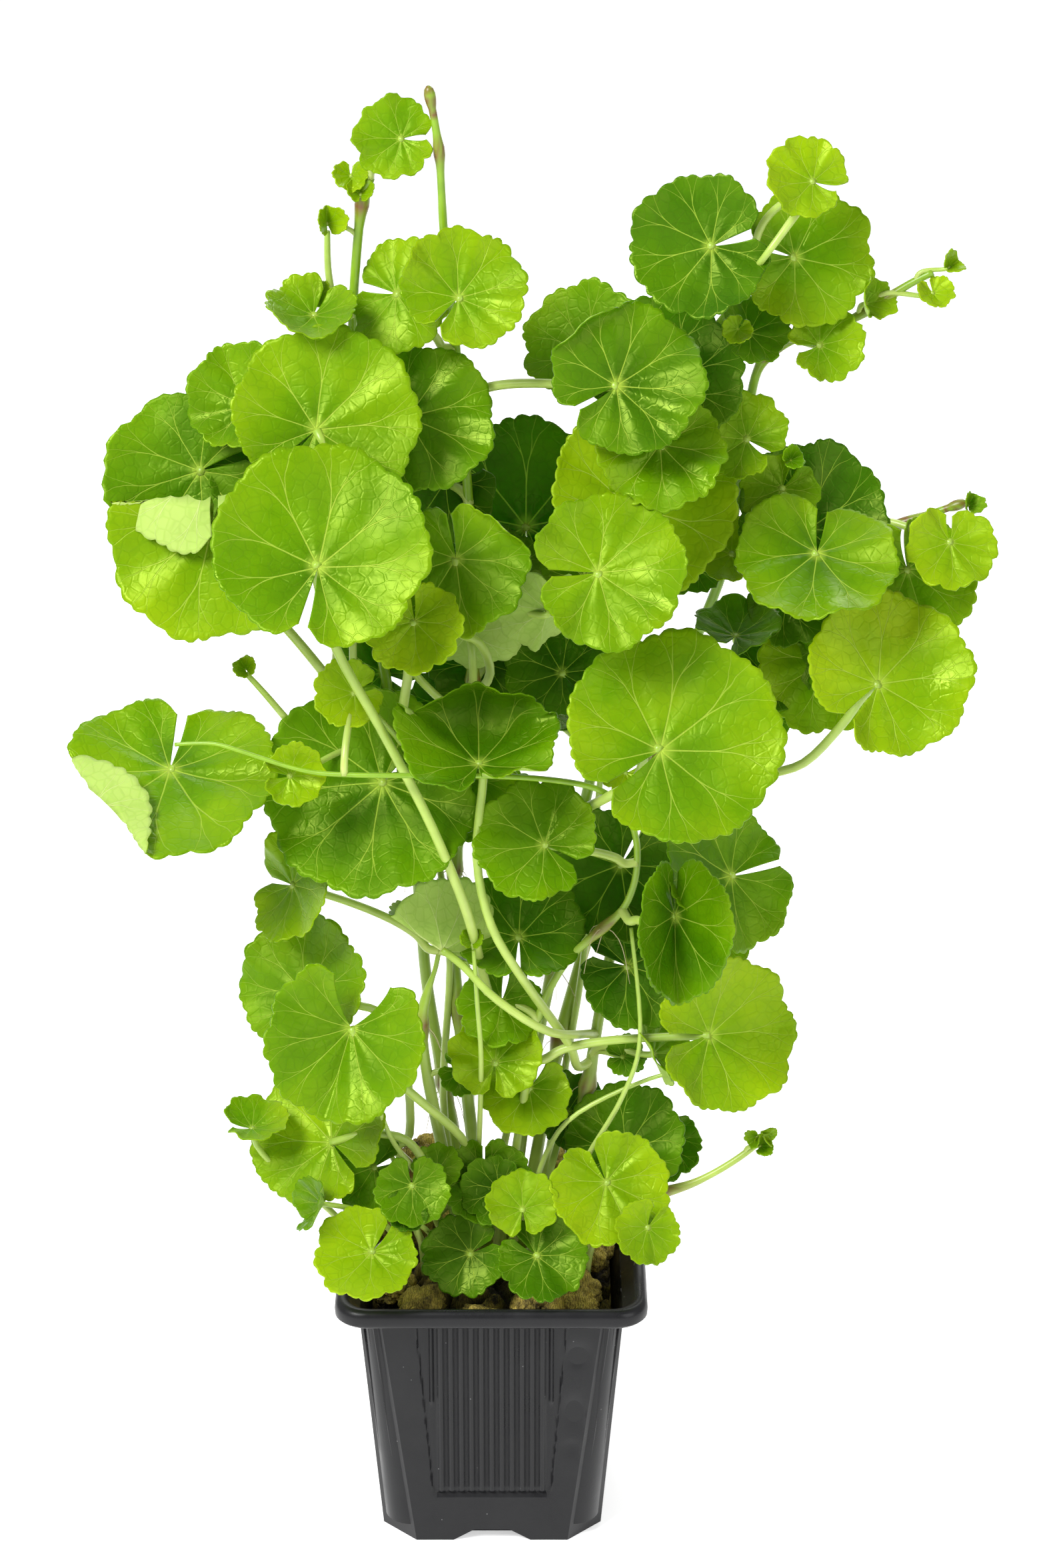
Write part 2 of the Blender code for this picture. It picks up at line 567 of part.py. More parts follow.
def build_plant(group, helpers, stem_surface, leaf_surface, obstacles):
    placed = list(obstacles)
    stems = {}
    for name in STEMS:
        line, radii = stem_line(name)
        stems[name] = (line, radii)
        bm = tube_mesh(name, line, radii)
        placed.append(BVHTree.FromBMesh(bm, epsilon=0.0))
        add_object(name, bm, group, stem_surface, 3.2)
    blades = {}
    for name in LEAVES:
        blades[name] = set_blade(name, placed)
        placed.append(blades[name][1])
    starts = petiole_starts(stems)
    for name, (bm, tree, hub) in blades.items():
        others = [other for other in placed if other is not tree]
        tube, taken = set_petiole(name, hub, tree, starts, others)
        placed.append(taken)
        petiole = add_object(f"{name}_petiole", tube, helpers)
        mark_helper(petiole)
        leaf = add_object(name, bm, group, leaf_surface, 1.0)
        wall = leaf.modifiers.new("thickness", "SOLIDIFY")
        wall.thickness = BLADE_THICKNESS
        wall.offset = 0.0
        combine(leaf, petiole, "UNION")


def main():
    clear_scene()
    group = collection("potted_pennywort")
    helpers = collection("helpers")
    pot = build_pot(group, helpers, material("pot_plastic", BLACK, 0.35))
    medium = build_medium(group, material("growing_medium", BROWN, 0.95))
    obstacles = []
    for item in (pot, medium):
        bm = bmesh.new()
        bm.from_mesh(item.data)
        obstacles.append(BVHTree.FromBMesh(bm, epsilon=0.0))
        bm.free()
    stem_surface = material("stem_green", STEM_GREEN, 0.45)
    leaf_surface = material("leaf_green", GREEN, 0.35)
    build_plant(group, helpers, stem_surface, leaf_surface, obstacles)


main()
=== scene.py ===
"""Potted pennywort: the fine surface of the plant, its growing medium and its pot."""
import math
import random

import bmesh
import bpy
import numpy as np
from mathutils import Matrix, Vector, noise
from mathutils.geometry import interpolate_bezier


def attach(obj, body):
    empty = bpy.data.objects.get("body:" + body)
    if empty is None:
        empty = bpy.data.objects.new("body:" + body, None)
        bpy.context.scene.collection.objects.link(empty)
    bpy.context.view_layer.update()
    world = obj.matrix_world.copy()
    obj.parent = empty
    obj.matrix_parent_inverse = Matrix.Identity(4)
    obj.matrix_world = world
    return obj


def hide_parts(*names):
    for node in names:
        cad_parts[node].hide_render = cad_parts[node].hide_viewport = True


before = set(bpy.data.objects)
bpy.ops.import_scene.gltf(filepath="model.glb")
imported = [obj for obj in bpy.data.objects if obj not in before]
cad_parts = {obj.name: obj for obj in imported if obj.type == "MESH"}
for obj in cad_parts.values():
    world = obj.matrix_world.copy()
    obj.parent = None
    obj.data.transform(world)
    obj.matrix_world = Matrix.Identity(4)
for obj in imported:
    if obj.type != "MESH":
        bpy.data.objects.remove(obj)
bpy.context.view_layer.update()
MM = 0.001

# ---------------------------------------------------------------- camera, floor and lamps
# A white floor and backdrop under a soft lamp from the upper left, a weaker one from the right
# and one from behind, with the viewer in front and above, looking down on the plant.
CAMERA_PLACE = (0.009, -1.04945, 0.66392)
CAMERA_TILT = 67.47      # degrees up from straight down
CAMERA_LENS, CAMERA_FILM = 92.7, 36
WORLD_LIGHT, WORLD_SEEN = 0.5, 1.0       # the white backdrop's strength as light and as seen
AIM = Vector((0, 0, 0.2))
LAMPS = (("key_lamp", (-0.75, -0.75, 1.25), 0.6, 30), ("fill_lamp", (1.0, -0.9, 0.7), 0.9, 6),
         ("rear_lamp", (0.2, 1.1, 1.2), 0.9, 8))       # place, size and power
FLOOR_HALF = 6

camera = bpy.data.objects.new("camera", bpy.data.cameras.new("camera"))
bpy.context.scene.collection.objects.link(camera)
camera.location = CAMERA_PLACE
camera.rotation_euler = (math.radians(CAMERA_TILT), 0, 0)
camera.data.sensor_fit = "VERTICAL"
camera.data.sensor_height = CAMERA_FILM
camera.data.lens = CAMERA_LENS
bpy.context.scene.camera = camera

world = bpy.data.worlds.new("studio")
world.use_nodes = True
backdrop = world.node_tree.nodes["Background"]
backdrop.inputs["Color"].default_value = (1, 1, 1, 1)
seen = world.node_tree.nodes.new("ShaderNodeLightPath")
strength = world.node_tree.nodes.new("ShaderNodeMapRange")
strength.inputs["To Min"].default_value = WORLD_LIGHT
strength.inputs["To Max"].default_value = WORLD_SEEN
world.node_tree.links.new(seen.outputs["Is Camera Ray"], strength.inputs["Value"])
world.node_tree.links.new(strength.outputs["Result"], backdrop.inputs["Strength"])
bpy.context.scene.world = world
bpy.context.scene.view_settings.view_transform = "Standard"

for name, place, size, power in LAMPS:
    lamp = bpy.data.objects.new(name, bpy.data.lights.new(name, "AREA"))
    lamp.data.size = size
    lamp.data.energy = power
    lamp.location = place
    lamp.rotation_euler = (AIM - lamp.location).to_track_quat("-Z", "Y").to_euler()
    bpy.context.scene.collection.objects.link(lamp)


def new_material(name, colour, roughness):
    """A plain Principled material, and its tree and shader to build on."""
    made = bpy.data.materials.new(name)
    made.use_nodes = True
    shader = made.node_tree.nodes["Principled BSDF"]
    shader.inputs["Base Color"].default_value = (*colour, 1)
    shader.inputs["Roughness"].default_value = roughness
    return made, made.node_tree, shader


def add_node(tree, kind, settings=None, **inputs):
    """A shader node: each input, by name or as _number, is a value or another's output."""
    made = tree.nodes.new(kind)
    for key, value in (settings or {}).items():
        setattr(made, key, value)
    for key, value in inputs.items():
        socket = made.inputs[int(key[1:])] if key[0] == "_" else made.inputs[key]
        if isinstance(value, bpy.types.NodeSocket):
            tree.links.new(value, socket)
        else:
            socket.default_value = value
    return made


def add_object(name, bm, *surfaces):
    """A mesh object at the origin, smooth, with its materials."""
    mesh = bpy.data.meshes.new(name)
    bm.to_mesh(mesh)
    bm.free()
    mesh.shade_smooth()
    for surface in surfaces:
        mesh.materials.append(surface)
    made = bpy.data.objects.new(name, mesh)
    bpy.context.scene.collection.objects.link(made)
    return made


floor_mesh = bmesh.new()
bmesh.ops.create_grid(floor_mesh, x_segments=1, y_segments=1, size=FLOOR_HALF)
floor_white, tree, shader = new_material("floor_white", (0.9, 0.9, 0.9), 0.7)
shader.inputs["Specular IOR Level"].default_value = 0.2
shader.inputs["Emission Color"].default_value = (1, 1, 1, 1)
shader.inputs["Emission Strength"].default_value = 0.5
add_object("floor", floor_mesh, floor_white)

# ---------------------------------------------------------------- pot
# A square nursery pot, vacuum-formed from thin black plastic: cut-off corners, a rolled
# lip, a sunk ribbed panel on each side and three fine ridges on each corner. Its skin is
# a fine sheet wrapped round four sides; the foot notches are cut out of it.
POT_HEIGHT = 0.084
LIP_SKIRT = 0.0785       # where the lip's skirt ends
NECK, FOOT = 0.0384, 0.0323          # half-widths under the lip and at the floor
NECK_CORNER, FOOT_CORNER = 0.0065, 0.010
WALL = 0.0012
RIM = 0.045
RIM_CORNER = 0.009
PANEL_TOP, PANEL_FOOT = 0.0216, 0.0170      # half-widths of the sunk panel
PANEL_END = 0.0165       # height of its lower edge
PANEL_CORNER = 0.0018
PANEL_DEPTH = 0.00070
OUTLINE_DEPTH = 0.0008   # the fine groove round the panel
OUTLINE_WIDTH = 0.00042
RIB_PITCH = 0.00295
RIB_HEIGHT = 0.0010
RIBS = 5                 # ribs each way from the middle one
SHORT_RIB_AT = 0.0174    # the outer, short rib's distance from the middle
SHORT_RIB_END = 0.0488   # and the height of its lower end
SHORT_RIB_SHARE = 0.8    # and its height over the others'
CORNER_RIDGES = (-0.0023, 0, 0.0023)
CORNER_RIDGE_HEIGHT = 0.0012
CORNER_RIDGE_END = 0.0175
NOTCH_LOW, NOTCH_HIGH = -0.0040, 0.0038      # ends of the foot notches' cutter
NOTCH_WIDE, NOTCH_NARROW = 0.0358, 0.0104    # and its width there
NOTCH_DEPTH = 0.010
HOLE_AT, HOLE_RADIUS = 0.016, 0.0018         # drain holes, as far out both ways
SIDE_COLUMNS = 74        # the skin's columns each way from a side's middle
RIB_COLUMNS = 50         # those of them that follow the ribs
COLUMN_PITCH = RIB_PITCH / 8
CORNER_COLUMNS = 16
SKIN_ROWS = 66
# The dents in the front, right of its panel: middle, half-width, half-height and depth.
DENTS = ((0.0250, 0.0650, 0.0042, 0.0042, 0.0017), (0.0240, 0.0455, 0.0036, 0.0052, 0.0017),
         (0.0235, 0.0330, 0.0034, 0.0030, 0.0010))


def step_up(value, low, high):
    """0 below low, 1 above high, smooth between."""
    share = min(1.0, max(0.0, (value - low) / (high - low)))
    return share * share * (3 - 2 * share)


def side_relief(x, z, front):
    """How far a flat side stands out at x along it and height z."""
    share = (z - PANEL_END) / (LIP_SKIRT - PANEL_END)
    panel = PANEL_FOOT + (PANEL_TOP - PANEL_FOOT) * share
    inside = min(panel - abs(x), z - PANEL_END)
    corner_x = abs(x) - panel + PANEL_CORNER
    corner_z = PANEL_END + PANEL_CORNER - z
    if corner_x > 0 and corner_z > 0:
        inside = PANEL_CORNER - math.hypot(corner_x, corner_z)
    groove = math.exp(-(inside / OUTLINE_WIDTH) ** 2)
    relief = -PANEL_DEPTH * step_up(inside, -0.0002, 0.0007) - OUTLINE_DEPTH * groove
    nearest = round(x / RIB_PITCH)
    if abs(nearest) <= RIBS:
        ridge = 0.5 + 0.5 * math.cos(2 * math.pi * (x / RIB_PITCH - nearest))
        relief += RIB_HEIGHT * ridge * step_up(z, PANEL_END + 0.0003, PANEL_END + 0.0012)
    ridge = 1 - step_up(abs(abs(x) - SHORT_RIB_AT), 0.00025, 0.0007)
    ridge *= step_up(z, SHORT_RIB_END - 0.0006, SHORT_RIB_END + 0.0004)
    relief += SHORT_RIB_SHARE * RIB_HEIGHT * ridge
    if front:
        for at_x, at_z, wide, tall, deep in DENTS:
            relief -= deep * math.exp(-((x - at_x) / wide) ** 2 - ((z - at_z) / tall) ** 2)
    return relief + 0.00012 * noise.noise(Vector((x * 90, z * 70, 3.0 if front else 8.0)))


def corner_relief(along, z):
    """How far a cut-off corner stands out: three fine ridges."""
    relief = 0.0
    for ridge_at in CORNER_RIDGES:
        foot = CORNER_RIDGE_END - ridge_at * 0.3
        lean = ridge_at * (1 + 0.12 * (LIP_SKIRT - z) / LIP_SKIRT)
        ridge = 1 - step_up(abs(along - lean), 0.0002, 0.0006)
        relief += CORNER_RIDGE_HEIGHT * ridge * step_up(z, foot, foot + 0.0012)
    return relief


side_columns = range(-SIDE_COLUMNS, SIDE_COLUMNS + 1)
corner_columns = [i / CORNER_COLUMNS for i in range(1 - CORNER_COLUMNS, CORNER_COLUMNS)]
quarter = [("side", share) for share in side_columns] + [("corner", share) for share in corner_columns]
columns = len(quarter) * 4
pot_mesh = bmesh.new()
bmesh.ops.create_grid(pot_mesh, x_segments=columns, y_segments=SKIN_ROWS, size=1.0)
for vert in pot_mesh.verts:
    column = round((vert.co.x + 1) / 2 * columns) % columns
    z = (vert.co.y + 1) / 2 * LIP_SKIRT
    turn, index = divmod(column, len(quarter))
    half = FOOT + (NECK - FOOT) * z / LIP_SKIRT
    cut = FOOT_CORNER + (NECK_CORNER - FOOT_CORNER) * z / LIP_SKIRT
    kind, share = quarter[index]
    if kind == "side":
        x = share * COLUMN_PITCH
        if abs(share) > RIB_COLUMNS:
            past = (abs(share) - RIB_COLUMNS) / (SIDE_COLUMNS - RIB_COLUMNS)
            x = math.copysign(RIB_COLUMNS * COLUMN_PITCH * (1 - past) + (half - cut) * past, share)
        relief = side_relief(x, z, turn == 0) * step_up(half - cut - abs(x), 0, 0.0008)
        spot = Vector((x, -half - relief, z))
    else:
        along = share * cut / math.sqrt(2)
        relief = corner_relief(along, z)
        spot = Vector((half - cut / 2 + along / math.sqrt(2), -half + cut / 2 + along / math.sqrt(2), z))
        spot += Vector((relief, -relief, 0)) / math.sqrt(2)
    vert.co = Matrix.Rotation(turn * math.pi / 2, 3, "Z") @ spot
bmesh.ops.remove_doubles(pot_mesh, verts=pot_mesh.verts, dist=0.00002)


def rounded_square(half, corner, z, steps=8):
    """Points of a square with round corners, anticlockwise."""
    points = []
    for side in range(4):
        for step in range(steps + 1):
            angle = math.pi / 2 * (side + step / steps)
            middle = Matrix.Rotation(math.pi / 2 * side, 2) @ Vector((half - corner, half - corner))
            out = Vector((math.cos(angle), math.sin(angle)))
            points.append((middle + out * corner).to_3d() + Vector((0, 0, z)))
    return points


def loft(bm, loops):
    """Bridges closed loops of points; gives the last loop's edges."""
    made = []
    for points in loops:
        verts = [bm.verts.new(point) for point in points]
        made.append([bm.edges.new(pair) for pair in zip(verts, verts[1:] + verts[:1])])
    for low, high in zip(made, made[1:]):
        bmesh.ops.bridge_loops(bm, edges=low + high)
    return made[-1]


# Half-width, corner radius and height of the rings from the neck round the lip and down
# the inside to the pot's floor.
lip_profile = [
    (NECK - 0.0002, 0.0075, LIP_SKIRT - 0.0002), (RIM - 0.0014, 0.0085, LIP_SKIRT - 0.0001),
    (RIM - 0.0006, RIM_CORNER, LIP_SKIRT + 0.0002), (RIM - 0.0001, RIM_CORNER, LIP_SKIRT + 0.0009),
    (RIM, RIM_CORNER, LIP_SKIRT + 0.0022), (RIM - 0.0001, RIM_CORNER, POT_HEIGHT - 0.0020),
    (RIM - 0.0004, RIM_CORNER, POT_HEIGHT - 0.0010), (RIM - 0.0010, RIM_CORNER, POT_HEIGHT - 0.0003),
    (RIM - 0.0018, 0.0085, POT_HEIGHT), (RIM - 0.0030, 0.0080, POT_HEIGHT - 0.0003),
    (RIM - 0.0040, 0.0075, POT_HEIGHT - 0.0012), (RIM - 0.0052, 0.0070, POT_HEIGHT - 0.0030),
    (NECK - WALL + 0.0006, 0.0060, POT_HEIGHT - 0.0050), (NECK - WALL, 0.0055, LIP_SKIRT - 0.003),
    (FOOT - WALL + 0.0005, FOOT_CORNER * 0.8, 0.005)]
bmesh.ops.edgeloop_fill(pot_mesh, edges=loft(pot_mesh, [rounded_square(*row) for row in lip_profile]))
underside = [edge for edge in pot_mesh.edges
             if edge.is_boundary and max(vert.co.z for vert in edge.verts) < 0.0001]
bmesh.ops.edgeloop_fill(pot_mesh, edges=underside)
neck_edges = [edge for edge in pot_mesh.edges if edge.is_boundary]
bmesh.ops.bridge_loops(pot_mesh, edges=neck_edges)
bmesh.ops.recalc_face_normals(pot_mesh, faces=pot_mesh.faces)

black_plastic, tree, shader = new_material("black_plastic", (0.008, 0.008, 0.009), 0.36)
where = add_node(tree, "ShaderNodeTexCoord").outputs["Object"]
mottle = add_node(tree, "ShaderNodeTexNoise", Vector=where, Scale=90.0, Detail=5.0, Roughness=0.65)
grain = add_node(tree, "ShaderNodeTexNoise", Vector=where, Scale=1800.0, Detail=2.0)
dust = add_node(tree, "ShaderNodeTexVoronoi", Vector=where, Scale=210.0, Randomness=1.0)
speck = add_node(tree, "ShaderNodeMapRange", Value=dust.outputs["Distance"], _1=0.05, _2=0.02)
rubbed = add_node(tree, "ShaderNodeMapRange", Value=mottle.outputs["Fac"], _1=0.35, _2=0.75, _3=0.26, _4=0.42)
tree.links.new(rubbed.outputs["Result"], shader.inputs["Roughness"])
faded = add_node(tree, "ShaderNodeMix", {"data_type": "RGBA"},
                 _6=(0.004, 0.004, 0.005, 1), _7=(0.013, 0.013, 0.014, 1))
tree.links.new(mottle.outputs["Fac"], faded.inputs["Factor"])
dusty = add_node(tree, "ShaderNodeMix", {"data_type": "RGBA"}, _6=faded.outputs[2], _7=(0.16, 0.16, 0.16, 1))
tree.links.new(speck.outputs["Result"], dusty.inputs["Factor"])
tree.links.new(dusty.outputs[2], shader.inputs["Base Color"])
shader.inputs["Specular IOR Level"].default_value = 0.26
relief = add_node(tree, "ShaderNodeBump", Strength=0.10, Distance=0.0002, Height=grain.outputs["Fac"])
tree.links.new(relief.outputs["Normal"], shader.inputs["Normal"])

pot = add_object("nursery_pot", pot_mesh, black_plastic)
notches = bmesh.new()
for side in range(4):
    bar = bmesh.ops.create_cube(notches, size=1.0)["verts"]
    for vert in bar:
        wide, level = (NOTCH_WIDE, NOTCH_LOW) if vert.co.z < 0 else (NOTCH_NARROW, NOTCH_HIGH)
        vert.co = Vector((vert.co.x * wide, vert.co.y * NOTCH_DEPTH - FOOT, level))
    bmesh.ops.rotate(notches, verts=bar, matrix=Matrix.Rotation(side * math.pi / 2, 3, "Z"))
    hole = Matrix.Rotation(side * math.pi / 2, 4, "Z") @ Matrix.Translation((HOLE_AT, HOLE_AT, 0.0025))
    bmesh.ops.create_cone(notches, cap_ends=True, segments=16, radius1=HOLE_RADIUS, radius2=HOLE_RADIUS,
                          depth=0.02, matrix=hole)
cutter = add_object("foot_notches", notches)
cut = pot.modifiers.new("foot_notches", "BOOLEAN")
cut.operation = "DIFFERENCE"
cut.object = cutter
cut_mesh = bpy.data.meshes.new_from_object(pot.evaluated_get(bpy.context.evaluated_depsgraph_get()))
pot.modifiers.remove(cut)
pot.data = cut_mesh
bpy.data.objects.remove(cutter)
pot.data.set_sharp_from_angle(angle=math.radians(35))
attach(pot, "root")
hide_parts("pot")

# ---------------------------------------------------------------- growing medium
# Olive-brown mineral wool and fibre, packed in torn lumps with gaps between them, sunk at the
# front and heaped up at the back; the shade in the gaps is painted dark into its colour. It is a
# fine sheet raised into lumps, with torn chunks on it.
MEDIUM_EDGE = 0.069
MEDIUM_HALF = NECK - WALL - 0.0022
MEDIUM_FOOT, MEDIUM_TAPER = 0.0056, 0.87     # its underside's height and share of its width
CROWN_RADIUS = 0.023
LUMPS = 95               # lumps to a metre
LUMP_HEIGHT = 0.0016
GAP_DEPTH = 0.0075
# Middle, height and radius of each heap.
HEAPS = ((-0.022, 0.027, 0.027, 0.014), (0.022, 0.028, 0.025, 0.013), (0.001, 0.031, 0.018, 0.010),
         (0.027, -0.020, 0.005, 0.010), (-0.026, -0.021, 0.005, 0.010))
# Middle, width, depth and height of each torn chunk, in millimetres.
CHUNKS = ((24, -17, 75, 9, 7, 7), (25, -25, 74, 7, 5, 5), (-2, -31, 74, 8, 4, 4), (-20, -24, 74, 10, 6, 6),
          (-29, -14, 76, 7, 7, 5), (17, -28, 73, 7, 4, 4), (-22, 25, 94, 11, 7, 9), (-12, 28, 92, 9, 6, 7),
          (23, 26, 92, 11, 7, 8), (31, 20, 88, 6, 7, 6), (2, 30, 89, 9, 5, 6), (-31, 12, 82, 5, 9, 6),
          (30, 2, 78, 6, 9, 5), (11, -25, 76, 7, 5, 4), (-9, 12, 82, 9, 7, 4), (12, 13, 82, 8, 7, 4))


def medium_level(x, y):
    """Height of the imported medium, before it is torn into lumps."""
    past_crown = max(0.0, math.hypot(x, y) - CROWN_RADIUS) / 0.014
    level = POT_HEIGHT - 0.004 - 0.010 * min(1.0, past_crown)
    for heap_x, heap_y, height, radius in HEAPS:
        away = math.hypot(x - heap_x, y - heap_y) / radius
        level += height * max(0.0, 1.0 - away * away) ** 1.5
    return level


fibre, tree, shader = new_material("mineral_wool", (0.16, 0.11, 0.03), 0.95)
where = add_node(tree, "ShaderNodeTexCoord").outputs["Object"]
clump = add_node(tree, "ShaderNodeTexNoise", Vector=where, Scale=140.0, Detail=6.0, Roughness=0.7)
strand = add_node(tree, "ShaderNodeTexWave", Vector=where, Scale=420.0, Distortion=14.0, Detail=4.0)
shade = add_node(tree, "ShaderNodeValToRGB", Fac=clump.outputs["Fac"])
shade.color_ramp.elements[0].position = 0.34
shade.color_ramp.elements[0].color = (0.018, 0.012, 0.004, 1)
shade.color_ramp.elements[1].position = 0.57
shade.color_ramp.elements[1].color = (0.60, 0.46, 0.085, 1)
strands = add_node(tree, "ShaderNodeMix", {"data_type": "RGBA", "blend_type": "MULTIPLY"},
                   _0=0.45, _6=shade.outputs["Color"])
tree.links.new(strand.outputs["Color"], strands.inputs[7])
# Painted shade: the gaps between the lumps are mixed to near-black, for the shade that falls deep in them.
painted_gap_shade = add_node(tree, "ShaderNodeAttribute", {"attribute_name": "painted_gap_shade"})
painted_gap_shade_mix = add_node(tree, "ShaderNodeMix", {"data_type": "RGBA"},
                _6=strands.outputs[2], _7=(0.006, 0.005, 0.003, 1))
tree.links.new(painted_gap_shade.outputs["Fac"], painted_gap_shade_mix.inputs["Factor"])
tree.links.new(painted_gap_shade_mix.outputs[2], shader.inputs["Base Color"])
rough = add_node(tree, "ShaderNodeBump", Strength=0.9, Distance=0.0012, Height=clump.outputs["Fac"])
torn = add_node(tree, "ShaderNodeBump", Strength=0.5, Distance=0.0005,
                Height=strand.outputs["Fac"], Normal=rough.outputs["Normal"])
tree.links.new(torn.outputs["Normal"], shader.inputs["Normal"])

medium_mesh = bmesh.new()
bmesh.ops.create_grid(medium_mesh, x_segments=130, y_segments=130, size=MEDIUM_HALF)
painted_gap_shade_layer = medium_mesh.verts.layers.float.new("painted_gap_shade")
for vert in medium_mesh.verts:
    over = (abs(vert.co.x) + abs(vert.co.y) - 2 * MEDIUM_HALF + NECK_CORNER) / 2
    if over > 0:
        vert.co.x -= math.copysign(over, vert.co.x)
        vert.co.y -= math.copysign(over, vert.co.y)
    spot = Vector((vert.co.x, vert.co.y, 0.0)) * LUMPS
    cell = noise.voronoi(spot, distance_metric="DISTANCE", exponent=2.5)[0]
    gap = min(1.0, (cell[1] - cell[0]) * 2.2)
    lump = noise.fractal(spot * 2.2, 0.9, 2.0, 5)
    front = step_up(-vert.co.y, -0.016, 0.010)
    vert.co.z = MEDIUM_EDGE
    if not vert.is_boundary:
        depth = GAP_DEPTH * (1 - gap) * (0.35 + 0.65 * front)
        vert.co.z = medium_level(vert.co.x, vert.co.y) - 0.001 - depth + LUMP_HEIGHT * lump
    # How deep in a gap between lumps the point lies, for the painted shade there.
    vert[painted_gap_shade_layer] = (1 - gap) ** 0.8
edges = [edge for edge in medium_mesh.edges if edge.is_boundary]
for part in bmesh.ops.extrude_edge_only(medium_mesh, edges=edges)["geom"]:
    if isinstance(part, bmesh.types.BMVert):
        part.co = Vector((part.co.x * MEDIUM_TAPER, part.co.y * MEDIUM_TAPER, MEDIUM_FOOT))
bmesh.ops.edgeloop_fill(medium_mesh, edges=[edge for edge in medium_mesh.edges if edge.is_boundary])
bmesh.ops.recalc_face_normals(medium_mesh, faces=medium_mesh.faces)
for x, y, z, wide, deep, tall in CHUNKS:
    at = Matrix.Translation((x * MM, y * MM, z * MM)) @ Matrix.Rotation(x * 0.1, 4, "Z")
    at = at @ Matrix.Diagonal((wide * MM, deep * MM, tall * MM, 1))
    for vert in bmesh.ops.create_icosphere(medium_mesh, subdivisions=5, radius=1.0, matrix=at)["verts"]:
        spot = vert.co * 160
        torn = 1 - abs(noise.noise(spot * 2.6 + Vector((x, y, z)))) * 2
        swell = 0.26 * noise.fractal(spot, 0.7, 2.2, 6) + 0.16 * noise.noise(spot * 0.6) - 0.16 * torn ** 3
        vert.co += (vert.co - at.translation) * swell
medium = add_object("mineral_wool", medium_mesh, fibre)
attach(medium, "root")
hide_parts("growing_medium")

# ---------------------------------------------------------------- stems
# Smooth juicy stems, yellow-green above and pale below, with a brown papery collar and
# a few fine roots at each thickened node. Each follows its solid's centre line; the
# rings of the solid give its route and its thickness.
STEM_SLIM, RUNNER_SLIM = 0.9, 0.6        # the thickness over the solids'
STEM_RING = 0.0032       # corners of a solid's ring are nearer than this
COLLAR_LENGTH = 0.0032   # half of a node's swelling
COLLAR_SWELL = 0.6
TIP_SWELLS = (0.5, 1.2, 1.5, 1.5, 1.3, 1.0)  # a dry tip's thickness from its end down
GREEN_FROM, GREEN_OVER = 0.085, 0.16     # the height where a pale stem turns green, and over how much
ROOTS_BELOW = 0.29       # nodes higher than this carry no roots
ROOTS, ROOT_CHANCE = 5, 0.75
ROOT_REACH, ROOT_HANG = 0.006, 0.007
chance = random.Random(7)


def solid_points(node):
    """The separate corner points of a solid, in metres."""
    points = np.array([vert.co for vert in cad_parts[node].data.vertices])
    return np.unique(points.round(6), axis=0)


def ring_centres(points, reach, start):
    """Middle and radius of each ring of points, in order from the one nearest to start."""
    left = list(range(len(points)))
    rings = []
    while left:
        group = [left.pop()]
        for member in group:
            near = [i for i in left if np.linalg.norm(points[i] - points[member]) < reach]
            group += near
            left = [i for i in left if i not in near]
        if len(group) >= 4:
            middle = points[group].mean(0)
            radius = np.linalg.norm(points[group] - middle, axis=1).mean()
            rings.append((Vector(middle), float(radius)))
    ordered = []
    at = Vector(start)
    while rings:
        ordered.append(min(rings, key=lambda ring: (ring[0] - at).length))
        rings.remove(ordered[-1])
        at = ordered[-1][0]
    return ordered


def smooth_line(points, spans):
    """Points on a smooth curve through the given ones."""
    line = []
    for i in range(len(points) - 1):
        before, after = points[max(i - 1, 0)], points[min(i + 2, len(points) - 1)]
        start, end = points[i], points[i + 1]
        line += interpolate_bezier(start, start + (end - before) / 6, end - (after - start) / 6,
                                   end, spans + 1)[:-1]
    return line + [points[-1]]


def spread(values, spans):
    """Values between the given ones, to go with smooth_line."""
    wide = [a + (b - a) * k / spans for a, b in zip(values, values[1:]) for k in range(spans)]
    return wide + [values[-1]]


